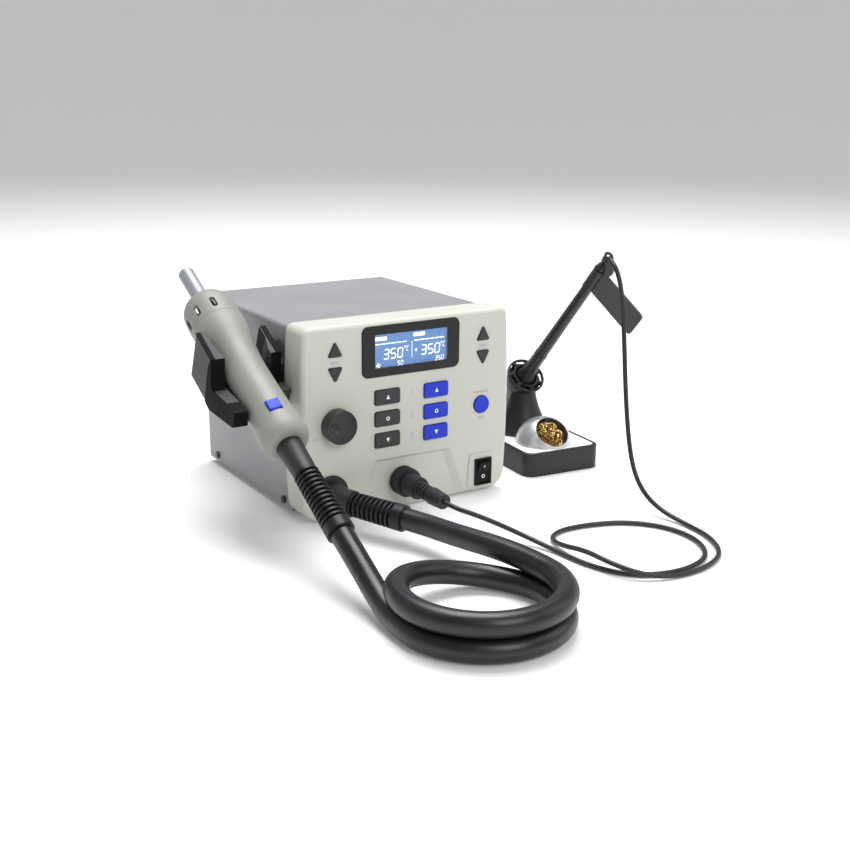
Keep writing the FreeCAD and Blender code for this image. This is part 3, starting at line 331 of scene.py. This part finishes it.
SILVER = material("satin_silver", (0.78, 0.79, 0.80), 0.30, metal=0.85, grain=0.12, grain_scale=2200.0,
                  bevel=0.4, tone=0.02)
DECK = material("deck_sheet", (0.86, 0.86, 0.86), 0.42, metal=0.15, grain=0.15, bevel=0.3, tone=0.01)
SCREW_STEEL = material("screw_steel", (0.05, 0.05, 0.052), 0.4, metal=0.8, grain=0.2, bevel=0.2)
STEEL = material("brushed_steel", (0.60, 0.60, 0.60), 0.34, metal=1.0, grain=0.3, bevel=0.2,
                 stretch=(1.0, 1.0, 0.05))
NOZZLE = material("nozzle_steel", (0.31, 0.32, 0.34), 0.46, metal=0.25, grain=0.1, bevel=0.2, tone=0.05)
BRASS = material("brass_turnings", (0.68, 0.46, 0.17), 0.30, metal=1.0, grain=0.3, tone=0.25, rough_vary=0.1)
BRASS_DARK = material("brass_shadow", (0.22, 0.12, 0.03), 0.5, metal=0.8, grain=0.6, tone=0.3)
BOARD = material("board_resin", (0.02, 0.11, 0.045), 0.4, grain=0.2, bevel=0.1)
LAMINATE = material("transformer_steel", (0.22, 0.21, 0.20), 0.5, metal=0.8, grain=0.6, bevel=0.3,
                    stretch=(1.0, 30.0, 1.0))
BEZEL = material("display_bezel", (0.0095, 0.0093, 0.0081), 0.30, grain=0.08, bevel=0.4, spec=0.3)
ROCKER = material("rocker_plastic", (0.0040, 0.0040, 0.0040), 0.42, spec=0.15, grain=0.1, bevel=0.3)
INK_WHITE = flat_material("ink_white", (0.82, 0.83, 0.84), 0.5)
INK_VIOLET = flat_material("ink_violet", (0.35, 0.32, 0.62), 0.6)
INK_GREY = flat_material("ink_grey", (0.24, 0.24, 0.30), 0.6)
LIT = flat_material("lcd_lit", (0.93, 0.97, 1.0), 0.5, 0.75)


def lcd_material():
    """Backlit blue field, a little brighter towards the middle."""
    mat = bpy.data.materials.new("lcd_field")
    mat.use_nodes = True
    nodes = mat.node_tree.nodes
    links = mat.node_tree.links
    shader = nodes["Principled BSDF"]
    shader.inputs["Base Color"].default_value = (0.02, 0.09, 0.24, 1.0)
    shader.inputs["Roughness"].default_value = 0.35
    where = nodes.new("ShaderNodeTexCoord")
    noise = nodes.new("ShaderNodeTexNoise")
    noise.inputs["Scale"].default_value = 14.0
    links.new(where.outputs["Object"], noise.inputs["Vector"])
    ramp = nodes.new("ShaderNodeValToRGB")
    ramp.color_ramp.elements[0].position = 0.3
    ramp.color_ramp.elements[0].color = (0.035, 0.19, 0.55, 1)
    ramp.color_ramp.elements[1].position = 0.7
    ramp.color_ramp.elements[1].color = (0.06, 0.27, 0.68, 1)
    links.new(noise.outputs["Fac"], ramp.inputs["Fac"])
    links.new(ramp.outputs["Color"], shader.inputs["Emission Color"])
    shader.inputs["Emission Strength"].default_value = 0.55
    return mat


def clear_material(name):
    mat = bpy.data.materials.new(name)
    mat.use_nodes = True
    nodes = mat.node_tree.nodes
    links = mat.node_tree.links
    shader = nodes["Principled BSDF"]
    shader.inputs["Base Color"].default_value = (1, 1, 1, 1)
    shader.inputs["Roughness"].default_value = 0.06
    clear = nodes.new("ShaderNodeBsdfTransparent")
    mix = nodes.new("ShaderNodeMixShader")
    mix.inputs["Fac"].default_value = 0.06
    links.new(clear.outputs["BSDF"], mix.inputs[1])
    links.new(shader.outputs["BSDF"], mix.inputs[2])
    links.new(mix.outputs["Shader"], nodes["Material Output"].inputs["Surface"])
    return mat


LCD_FIELD = lcd_material()
CLEAR = clear_material("display_window")

NODE_LOOKS = {
    PANEL_GREY: ("front_panel",), CASE_PAINT: ("top_cover", "rear_panel"), TRAY_PAINT: ("base_tray",),
    HANDSET_GREY: ("handset_front_cap", "handset_upper_shell", "handset_lower_shell"),
    KEY_DARK: ("temp_up_key", "temp_down_key", "time_up_key", "time_down_key", "memory_key_1", "memory_key_2",
               "memory_key_3"),
    KEY_BLUE: ("set_key_1", "set_key_2", "set_key_3", "standby_key", "handset_button"),
    KNOB_DARK: ("airflow_knob",), ROCKER: ("power_rocker", "rocker_frame"), BEZEL: ("lcd_frame",),
    CLEAR: ("lcd_window",), LCD_FIELD: ("lcd_module",), BOARD: ("panel_board", "power_board"),
    BOOT: ("panel_boot", "handset_tail_sleeve", "plug_ring", "plug_shell", "rubber_feet"),
    CRADLE_GREY: ("cradle_body", "cradle_mount"), STAND_GREY: ("stand_base", "stand_pillar"),
    HUB: ("stand_hub",), IRON_BODY: ("iron_handle", "iron_grip"), KEEPER: ("cord_keeper",),
    SILVER: ("cleaner_dome",), DECK: ("stand_deck",),
    SCREW_STEEL: ("case_screws",), STEEL: ("iron_socket", "iron_bit", "blower_motor", "heater_core"),
    NOZZLE: ("nozzle_tube",), BRASS_DARK: ("brass_wool",), LAMINATE: ("transformer",),
    RELIEF: ("mains_inlet", "blower_housing", "blower_impeller", "air_duct", "panel_strain_relief",
             "handset_strain_relief")}
for look, names in NODE_LOOKS.items():
    for name in names:
        for material_slot in NODES[name].material_slots:
            material_slot.material = look
air_hose.data.materials.append(RUBBER)
iron_lead.data.materials.append(CORD)


# ---------------------------------------------------------------- floor and light
FLOOR_R = 3.2
COVE_R = 1.4
COVE_STEPS = 12
FLOOR_SIDES = 96
FLOOR_DROP = 0.0002
PAPER = (0.85, 0.85, 0.85)
PAPER_GLOW = 0.12
SKY = (0.95, 0.97, 1.0, 1)
SKY_STRENGTH = 0.30
LIT_POINT = at(0, -60, 60)
# Area lights: where each stands from the lit point and its width, in metres, and its watts.
LAMPS = (("key", (0.0, -1.95, 1.4), 1.2, 21), ("fill", (1.7, -0.9, 1.1), 1.4, 7.5),
         ("top", (0.25, 0.5, 2.0), 1.4, 58), ("rim", (-1.6, 1.3, 1.0), 1.0, 1.0))


def backdrop():
    """Round paper sweep: a flat floor that curves up into a wall on every side."""
    profile = [(0.6 * FLOOR_R, 0.0), (FLOOR_R, 0.0)]
    for step in range(1, COVE_STEPS + 1):
        turn = math.radians(90.0 / COVE_STEPS * step)
        profile.append((FLOOR_R + COVE_R * math.sin(turn), COVE_R * (1 - math.cos(turn))))
    count = FLOOR_SIDES
    verts = [(0.0, 0.0, 0.0)]
    for radius, height in profile:
        for k in range(count):
            turn = 2 * math.pi * k / count
            verts.append((radius * math.cos(turn), radius * math.sin(turn), height))
    faces = [(0, 1 + k, 1 + (k + 1) % count) for k in range(count)]
    for ring in range(len(profile) - 1):
        low = 1 + ring * count
        faces += [(low + k, low + count + k, low + count + (k + 1) % count, low + (k + 1) % count)
                  for k in range(count)]
    mesh = bpy.data.meshes.new("floor")
    mesh.from_pydata(verts, [], faces)
    mesh.shade_smooth()
    return link("floor", mesh, flat_material("floor_paper", PAPER, 0.9, PAPER_GLOW))


def studio():
    floor = backdrop()
    floor.location = (LIT_POINT.x, LIT_POINT.y, -FLOOR_DROP)
    world = bpy.data.worlds.new("studio")
    scene.world = world
    world.use_nodes = True
    world.node_tree.nodes["Background"].inputs["Color"].default_value = SKY
    world.node_tree.nodes["Background"].inputs["Strength"].default_value = SKY_STRENGTH
    for name, offset, width, power in LAMPS:
        data = bpy.data.lights.new(name, "AREA")
        data.size = width
        data.energy = power
        lamp = bpy.data.objects.new(name, data)
        scene.collection.objects.link(lamp)
        lamp.location = LIT_POINT + Vector(offset)
        lamp.rotation_euler = (-Vector(offset)).to_track_quat("-Z", "Y").to_euler()
    scene.view_settings.view_transform = "Standard"
    scene.view_settings.look = "None"


studio()


# ---------------------------------------------------------------- solid pieces
def sector(outer, inner, z0, z1, start=0.0, sweep=360.0, steps=48):
    """Ring, or part of one, about +Z: corners and faces of a closed solid."""
    whole = sweep >= 360.0
    count = steps if whole else max(int(steps * sweep / 360.0), 3) + 1
    verts = []
    for k in range(count):
        turn = math.radians(start + sweep * k / (count if whole else count - 1))
        verts += [(r * math.cos(turn), r * math.sin(turn), z)
                  for r, z in ((inner, z0), (outer, z0), (outer, z1), (inner, z1))]
    faces = []
    for k in range(count if whole else count - 1):
        here, there = 4 * k, 4 * ((k + 1) % count)
        faces += [(here + i, there + i, there + (i + 1) % 4, here + (i + 1) % 4) for i in range(4)]
    if not whole:
        last = 4 * (count - 1)
        faces += [(0, 1, 2, 3), (last + 3, last + 2, last + 1, last)]
    return verts, faces


def spun(profile, steps=64):
    """Solid of revolution about +Z whose (radius, z) profile starts and ends on the axis."""
    verts = [(0, 0, profile[0][1])]
    for radius, z in profile[1:-1]:
        verts += [(radius * math.cos(2 * math.pi * k / steps), radius * math.sin(2 * math.pi * k / steps), z)
                  for k in range(steps)]
    verts.append((0, 0, profile[-1][1]))
    faces = [(0, 1 + (k + 1) % steps, 1 + k) for k in range(steps)]
    for ring in range(len(profile) - 3):
        low = 1 + ring * steps
        faces += [(low + k, low + (k + 1) % steps, low + steps + (k + 1) % steps, low + steps + k)
                  for k in range(steps)]
    low = 1 + (len(profile) - 3) * steps
    faces += [(low + k, low + (k + 1) % steps, len(verts) - 1) for k in range(steps)]
    return verts, faces


def prism(outline, x0, x1):
    """Polygon of (y, z) corners swept along X."""
    count = len(outline)
    verts = [(x, y, z) for x in (x0, x1) for y, z in outline]
    faces = [tuple(range(count - 1, -1, -1)), tuple(range(count, 2 * count))]
    faces += [(k, (k + 1) % count, count + (k + 1) % count, count + k) for k in range(count)]
    return verts, faces


def donut(radius, thick, steps=40, sides=16):
    """Ring of round section in the YZ plane about the origin."""
    verts = []
    for k in range(steps):
        around = 2 * math.pi * k / steps
        for j in range(sides):
            turn = 2 * math.pi * j / sides
            reach = radius + thick * math.cos(turn)
            verts.append((thick * math.sin(turn), reach * math.cos(around), reach * math.sin(around)))
    faces = [(k * sides + j, k * sides + (j + 1) % sides, ((k + 1) % steps) * sides + (j + 1) % sides,
              ((k + 1) % steps) * sides + j) for k in range(steps) for j in range(sides)]
    return verts, faces


def moved(solid, matrix):
    verts, faces = solid
    return [tuple(matrix @ Vector(v)) for v in verts], faces


def piece(name, solids, local, look, body, node, replace=True):
    """One visible piece from closed solids given in a local frame in millimetres."""
    verts = []
    faces = []
    for points, polygons in solids:
        base = len(verts)
        verts += [at(*(local @ Vector(p))) for p in points]
        faces += [tuple(base + index for index in polygon) for polygon in polygons]
    mesh = bpy.data.meshes.new(name)
    mesh.from_pydata(verts, [], faces)
    tidy = bmesh.new()
    tidy.from_mesh(mesh)
    bmesh.ops.recalc_face_normals(tidy, faces=tidy.faces)
    tidy.to_mesh(mesh)
    tidy.free()
    smooth(mesh)
    obj = link(name, mesh, look)
    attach(obj, body)
    if replace:
        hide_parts(node)
    return obj


RELIEF_PITCH = 3.7
RELIEF_RING = 1.9
RELIEF_WALL = 1.5
RELIEF_COLLAR = 8.0
RELIEF_CORE_R = 4.5
RELIEF_BORE_R = 4.2
RELIEF_END_R = 9.2
RELIEF_EASE = 0.35
RIB_SWEEP = 15.0
PANEL_RELIEF_L = 42.0
PANEL_RELIEF_R = 8.6
HANDSET_RELIEF_L = 52.8
HANDSET_RELIEF_R = 8.5
HANDSET_RELIEF_AT = 218.2


def relief_cage(length, start_r):
    """Open strain relief: thin rings on four ribs round a narrow core, with a plain collar."""
    collar_z = length - RELIEF_COLLAR
    count = round(collar_z / RELIEF_PITCH)
    pitch = collar_z / count
    inner = start_r - RELIEF_WALL
    end_r = RELIEF_END_R
    solids = [sector(RELIEF_CORE_R, RELIEF_BORE_R, 0.0, length)]
    for index in range(count):
        z = pitch * index
        ring_r = start_r + (end_r - start_r) * z / length
        solids.append(sector(ring_r - 0.25, inner - 0.1, z, z + RELIEF_RING))
        solids.append(sector(ring_r, inner, z + RELIEF_EASE, z + RELIEF_RING - RELIEF_EASE))
    for quarter in range(4):
        rib_at = 45 + 90 * quarter
        solids.append(sector(inner + 0.5, RELIEF_CORE_R - 0.3, 0.2, length - 1.0, rib_at, RIB_SWEEP))
    solids.append(sector(start_r - 0.3, RELIEF_CORE_R - 0.2, 0.0, 0.8))
    solids.append(sector(end_r, RELIEF_CORE_R - 0.2, collar_z, length - 0.7))
    solids.append(sector(end_r - 0.7, RELIEF_CORE_R - 0.2, length - 0.8, length))
    return solids


piece("panel_relief_cage", relief_cage(PANEL_RELIEF_L, PANEL_RELIEF_R), panel_relief_frame(), RELIEF,
      "station", "panel_strain_relief")
piece("handset_relief_cage", relief_cage(HANDSET_RELIEF_L, HANDSET_RELIEF_R),
      HANDSET @ Matrix.Translation((0, 0, HANDSET_RELIEF_AT)), RELIEF, "handset", "handset_strain_relief")


LOCK_RING_L = 8.6
LOCK_RING_R = 10.8
LOCK_RING_BORE = 7.26
LOCK_RING_RIM = 0.9
LOCK_RING_RIBS = 30


def knurled_ring():
    """Lock ring with flat-bottomed flutes between two plain rims."""
    far = LOCK_RING_L - LOCK_RING_RIM
    solids = [sector(LOCK_RING_R - 0.5, LOCK_RING_BORE, LOCK_RING_RIM, far, steps=90),
              sector(LOCK_RING_R, LOCK_RING_BORE, 0.0, LOCK_RING_RIM, steps=90),
              sector(LOCK_RING_R, LOCK_RING_BORE, far, LOCK_RING_L, steps=90)]
    for index in range(LOCK_RING_RIBS):
        rib_at = 360 / LOCK_RING_RIBS * index
        solids.append(sector(LOCK_RING_R - 0.05, LOCK_RING_R - 0.8, 0.8, LOCK_RING_L - 0.8, rib_at, 6.5, 90))
    return solids


piece("lock_ring_grip", knurled_ring(), Matrix.Translation((-6.5, -90.5, 22.3)) @ turned(90, "X"), BOOT,
      "lock_ring", "plug_ring")

# Flat keeper, in its own tilted plane: (across, up) corners from the paddle to the ring.
KEEPER_ARM = [(-3.3, 1), (0.4, 1), (0.4, 25.8), (6.4, 26.2), (8.2, 29.2), (8.9, 32.6), (7.3, 32.0),
              (5.2, 31.6), (3.2, 32.1), (1.7, 33.4), (0.9, 35.4), (-0.4, 35.2), (-3.4, 32.6), (-4.9, 27.6),
              (-4.6, 24.6), (-3.3, 22.6)]
PADDLE = [(-40.5, 0), (-43.0, 1.0), (-43.5, 3.5), (-43.5, 18.9), (-43.0, 21.4), (-40.5, 22.4), (0, 22.4),
          (0, 0)]
PADDLE_HALF = 0.8
KEEPER_HALF = 0.95
KEEPER_PLANE = Matrix.Translation((1.4, -4.9, 121.0)) @ turned(19, "Z")
RING_AT = (0.0, 5.2, 35.5)


def cord_keeper():
    """Flat paddle, and the arm from it up to the cord's ring."""
    return [moved(prism(PADDLE, -PADDLE_HALF, PADDLE_HALF), KEEPER_PLANE),
            moved(prism(KEEPER_ARM, -KEEPER_HALF, KEEPER_HALF), KEEPER_PLANE)]


def keeper_band():
    """Split band round the handle, and the ring that holds the cord."""
    return [sector(4.75, 4.22, 121, 143, 20, 320),
            moved(donut(3.2, 1.05), KEEPER_PLANE @ Matrix.Translation(RING_AT))]


piece("keeper_clip", cord_keeper(), IRON, KEEPER, "iron", "cord_keeper")
piece("keeper_band", keeper_band(), IRON, IRON_BODY, "iron", "cord_keeper", replace=False)


def lead_tail():
    """Collar on the handle's end and the short stretch of lead from it up to the ring."""
    return [sector(3.3, 0.9, 145.8, 147.6), sector(2.4, 0.9, 147.5, 149.0),
            moved(spun([(0, 0), (1.7, 0), (1.7, 9.2), (0, 9.2)], 24), Matrix.Translation((0, 0, 146.2)))]


piece("lead_tail", lead_tail(), IRON, IRON_BODY, "iron", "iron_handle", replace=False)


JAW_EDGE = [(14.9, 86.0), (15.5, 86.6), (14.9, 115.2), (14.0, 115.9)]
LOW_WALL = [(14.9, 115.4), (11.0, 117.2), (4.0, 119.6), (-1.5, 121.8), (-3.4, 124.4), (-2.9, 128.6),
            (6.4, 158.4), (6.5, 160.4), (5.4, 161.7), (-3.2, 163.3), (-4.6, 162.4), (-20.0, 126.5),
            (-20.4, 124.6), (-19.5, 117.5), (-4.0, 114.5), (8.0, 113.2)]
RIGHT_WALL = LOW_WALL[:6] + [(0.3, 138.9), (-14.6, 138.9)] + LOW_WALL[11:]


def cradle_liner():
    """Near-black edging on the jaws' tops, painted shade for their rounded rims, and the low walls with the
    step behind each jaw, whose near black is painted shade between the handset and the case.
    """
    return [prism(JAW_EDGE, -27.2, -23.9), prism(JAW_EDGE, 20.9, 24.6), prism(LOW_WALL, -27.4, -17.2),
            prism(RIGHT_WALL, 17.2, 24.5)]


piece("cradle_liner", cradle_liner(), CRADLE, LINER_SHADE, "station", "cradle_body", replace=False)

DOME_AT = Vector((-2.6, 28.1, 16.0))
DOME_AIM = Vector((0.0, -0.669, 0.743))
DECK_TOP = 18.7
CURLS = 260
CURL_LIMIT_R = 21.6
CURL_SPREAD = 14.0
CURL_HALF_T = 0.06
HEART_R = 15.5
HEART_BOTTOM = 3.0


def turning(dice):
    """One curled ribbon of brass near the dome's mouth, or None where it would poke out."""
    spread = Vector([dice.gauss(0, 1) for _ in range(3)]).normalized()
    centre = DOME_AT + DOME_AIM * dice.uniform(9.0, 18.0) + spread * CURL_SPREAD * math.sqrt(dice.random())
    axis = Vector([dice.gauss(0, 1) for _ in range(3)]).normalized()
    side = axis.orthogonal().normalized()
    other = axis.cross(side)
    radius = dice.uniform(1.6, 3.8)
    turns = dice.uniform(0.8, 2.2)
    rise = dice.uniform(0.6, 2.0)
    width = dice.uniform(0.5, 1.0)
    steps = int(16 * turns) + 4
    verts = []
    for k in range(steps):
        angle = 2 * math.pi * turns * k / (steps - 1)
        out = side * math.cos(angle) + other * math.sin(angle)
        middle = centre + out * radius * (1 + 0.25 * math.sin(1.7 * angle)) + axis * rise * k / (steps - 1)
        for across, thick in ((-1, -1), (1, -1), (1, 1), (-1, 1)):
            verts.append(middle + axis * across * width / 2 + out * thick * CURL_HALF_T)
    if any((v - DOME_AT).length > CURL_LIMIT_R or v.z < DECK_TOP + 0.3 for v in verts):
        return None
    faces = [(4 * k + i, 4 * k + 4 + i, 4 * k + 4 + (i + 1) % 4, 4 * k + (i + 1) % 4)
             for k in range(steps - 1) for i in range(4)]
    last = 4 * (steps - 1)
    faces += [(3, 2, 1, 0), (last, last + 1, last + 2, last + 3)]
    return [tuple(v) for v in verts], faces


def brass_nest():
    """Loose turnings filling the dome's mouth."""
    dice = random.Random(7)
    curls = []
    while len(curls) < CURLS:
        curl = turning(dice)
        if curl:
            curls.append(curl)
    return curls


def brass_heart():
    """Dark half ball in the middle of the turnings: painted shade deep inside the nest."""
    bowl = [(0, HEART_BOTTOM), (HEART_R, HEART_BOTTOM)]
    for step in range(15, 90, 15):
        angle = math.radians(step)
        bowl.append((HEART_R * math.cos(angle), HEART_R * math.sin(angle)))
    return [spun(bowl + [(0, HEART_R)])]


piece("brass_turnings", brass_nest(), STAND, BRASS, "station", "brass_wool")
piece("brass_heart", brass_heart(), STAND @ Matrix.Translation(DOME_AT), BRASS_DARK, "station", "brass_wool",
      replace=False)


# ---------------------------------------------------------------- flat graphics
FRONT_Y = -90.0
MARK_T = 0.05
INK_T = 0.03
SEGMENT_T = 0.02


def plate(name, outlines, y, look, thickness=MARK_T):
    """Thin flat shapes facing the front, from lists of (x, z) corners."""
    verts = []
    faces = []
    for outline in outlines:
        base = len(verts)
        count = len(outline)
        for depth in (y, y - thickness):
            verts += [at(x, depth, z) for x, z in outline]
        faces.append(tuple(range(base, base + count)))
        faces.append(tuple(range(base + 2 * count - 1, base + count - 1, -1)))
        for k in range(count):
            n = (k + 1) % count
            faces.append((base + n, base + k, base + count + k, base + count + n))
    mesh = bpy.data.meshes.new(name)
    mesh.from_pydata(verts, [], faces)
    return link(name, mesh, look)


def rect(x, z, width, height):
    """Corners of a bar centred at (x, z)."""
    w, h = width / 2, height / 2
    return [(x - w, z - h), (x + w, z - h), (x + w, z + h), (x - w, z + h)]


def disc(x, z, radius, count=32):
    return [(x + radius * math.cos(2 * math.pi * k / count), z + radius * math.sin(2 * math.pi * k / count))
            for k in range(count)]


def hoop(x, z, outer, inner, count=32):
    """A ring as a run of four-cornered pieces."""
    pieces = []
    for k in range(count):
        a = 2 * math.pi * k / count
        b = 2 * math.pi * (k + 1) / count
        pieces.append([(x + r * math.cos(t), z + r * math.sin(t))
                       for r, t in ((inner, a), (outer, a), (outer, b), (inner, b))])
    return pieces


SEGMENTS = {"0": "abcdef", "1": "bc", "2": "abged", "3": "abgcd", "5": "afgcd", "C": "afed"}


def digit(char, x, z, width, height, thick, slant):
    """One slanted seven-segment character with its lower left corner at (x, z)."""
    half = height / 2
    gap = thick * 0.12
    t = thick / 2
    bars = {"a": (0, height, width, height), "g": (0, half, width, half), "d": (0, 0, width, 0),
            "f": (0, half, 0, height), "b": (width, half, width, height), "e": (0, 0, 0, half),
            "c": (width, 0, width, half)}
    shapes = []
    for key in SEGMENTS[char]:
        x0, z0, x1, z1 = bars[key]
        if z0 == z1:
            points = [(x0 + gap, z0), (x0 + gap + t, z0 - t), (x1 - gap - t, z0 - t), (x1 - gap, z0),
                      (x1 - gap - t, z0 + t), (x0 + gap + t, z0 + t)]
        else:
            points = [(x0, z0 + gap), (x0 + t, z0 + gap + t), (x0 + t, z1 - gap - t), (x0, z1 - gap),
                      (x0 - t, z1 - gap - t), (x0 - t, z0 + gap + t)]
        shapes.append([(x + px + slant * pz, z + pz) for px, pz in points])
    return shapes


def number(text, x, z, width, height, thick, pitch, slant=0.14):
    """Figures of text in a row, from its lower left corner at (x, z)."""
    shapes = []
    for index, char in enumerate(text):
        shapes += digit(char, x + pitch * index, z, width, height, thick, slant)
    return shapes


def display():
    """Two read-outs side by side: label, dashed bar, temperature and a small figure."""
    y = FRONT_Y + 1.24
    shapes = [rect(-23.5, 128.2, 9.5, 2.6), rect(8.0, 128.6, 9.5, 2.6)]
    for start in (-28.0, 3.8):
        shapes += [rect(start + 1.9 + 4.35 * k, 124.4, 3.7, 0.8) for k in range(6)]
    shapes += number("350", -21.4, 113.4, 3.9, 6.8, 0.9, 5.7, 0.09)
    shapes += number("350", 9.6, 113.4, 3.9, 6.8, 0.9, 5.7, 0.09)
    for x in (-1.6, 29.0):
        shapes += hoop(x - 2.1, 120.8, 0.75, 0.4, 12)
        shapes += digit("C", x - 0.9, 117.6, 1.7, 3.4, 0.5, 0.14)
    shapes += number("50", -10.0, 108.0, 1.7, 3.0, 0.5, 2.7)
    shapes += number("350", 21.5, 108.0, 1.7, 3.0, 0.5, 2.7)
    shapes += [rect(2.0, 118.0, 0.35, 12.0)]
    shapes += [disc(5.4, 117.4, 1.0, 16), disc(-25.6, 109.4, 0.6, 12)]
    for k in range(4):
        angle = math.pi / 2 * k + 0.4
        shapes.append(disc(-25.6 + 1.2 * math.cos(angle), 109.4 + 1.2 * math.sin(angle), 0.65, 10))
    lit = plate("display_segments", shapes, y, LIT, SEGMENT_T)
    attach(lit, "station")


display()

KEY_FACE_Y = FRONT_Y - 1.5
KEY_ROWS = (86.4, 70.6, 54.8)
NUMBER_ROWS = (86.6, 70.4, 54.7)


def key_symbols():
    """White marks on the oblong keys: up, round and down."""
    for index, z in enumerate(KEY_ROWS, 1):
        for label, x in (("memory", -19.2), ("set", 21.6)):
            if index == 1:
                shapes = [[(x - 1.5, z - 1.5), (x + 1.5, z - 1.5), (x, z + 1.7)]]
            elif index == 2:
                shapes = hoop(x, z, 1.5, 0.75)
            else:
                shapes = [[(x - 1.5, z + 1.5), (x, z - 1.7), (x + 1.5, z + 1.5)]]
            mark = plate(f"{label}_mark_{index}", shapes, KEY_FACE_Y, INK_WHITE)
            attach(mark, f"{label}_press_{index}")


key_symbols()


def words(x, z, widths, height, look, name):
    """Tiny label as a row of short bars, one per letter, with no real lettering."""
    total = sum(widths) + 0.35 * (len(widths) - 1)
    left = x - total / 2
    shapes = []
    for width in widths:
        shapes.append(rect(left + width / 2, z + height * 0.38, width, height * 0.24))
        shapes.append(rect(left + width / 2, z - height * 0.38, width, height * 0.24))
        shapes.append(rect(left + height * 0.12, z, height * 0.24, height))
        left += width + 0.35
    label = plate(name, shapes, FRONT_Y, look, INK_T)
    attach(label, "station")


def panel_print():
    for index, z in enumerate(NUMBER_ROWS, 1):
        shapes = number(str(index), 0.2 if index > 1 else -1.0, z - 2.3, 2.2, 4.6, 0.5, 3.0, 0.0)
        mark = plate(f"row_number_{index}", shapes, FRONT_Y, INK_VIOLET, INK_T)
        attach(mark, "station")
    words(-60.4, 115.8, (1.3, 1.3, 1.5, 1.3), 1.6, INK_VIOLET, "temp_label")
    words(62.4, 114.7, (1.3, 0.8, 1.5, 1.3), 1.6, INK_VIOLET, "time_label")
    words(61.9, 79.6, (1.1, 1.1, 1.1, 1.1, 1.1, 1.1, 1.1, 1.1, 1.1), 1.2, INK_GREY, "standby_label")
    words(61.9, 59.6, (1.1, 1.1, 1.1, 1.1), 1.1, INK_GREY, "standby_hint")
    words(-76.0, 62.8, (1.2, 1.0, 1.2), 1.5, INK_VIOLET, "airflow_label")


panel_print()


ROCKER_AT = (64.1, -89.0, 17.1)
ROCKER_FACE_Y = -92.0
ROCKER_SLOPE = 10.0


def rocker_marks():
    """I and O on the two halves of the switch, which is at rest with O pressed in."""
    x, pivot_y, pivot_z = ROCKER_AT
    tilt = slope = math.radians(ROCKER_SLOPE)
    for name, offset, shapes in (("on_mark", 5.2, [rect(0, 0, 0.6, 2.3)]),
                                 ("off_mark", -3.2, hoop(0, 0, 1.5, 0.95, 24))):
        mark = plate(name, shapes, 0, INK_WHITE)
        shift = at(0, 0, 0)
        lean = slope if offset > 0 else -slope
        face_y = ROCKER_FACE_Y - abs(offset) * math.tan(slope) - pivot_y
        pose = (Matrix.Translation(at(x, pivot_y, pivot_z)) @ Matrix.Rotation(tilt, 4, "X")
                @ Matrix.Translation(Vector((0, face_y - 0.02, offset)) * MM)
                @ Matrix.Rotation(lean, 4, "X") @ Matrix.Translation(-shift))
        mark.data.transform(pose)
        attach(mark, "rocker")


rocker_marks()

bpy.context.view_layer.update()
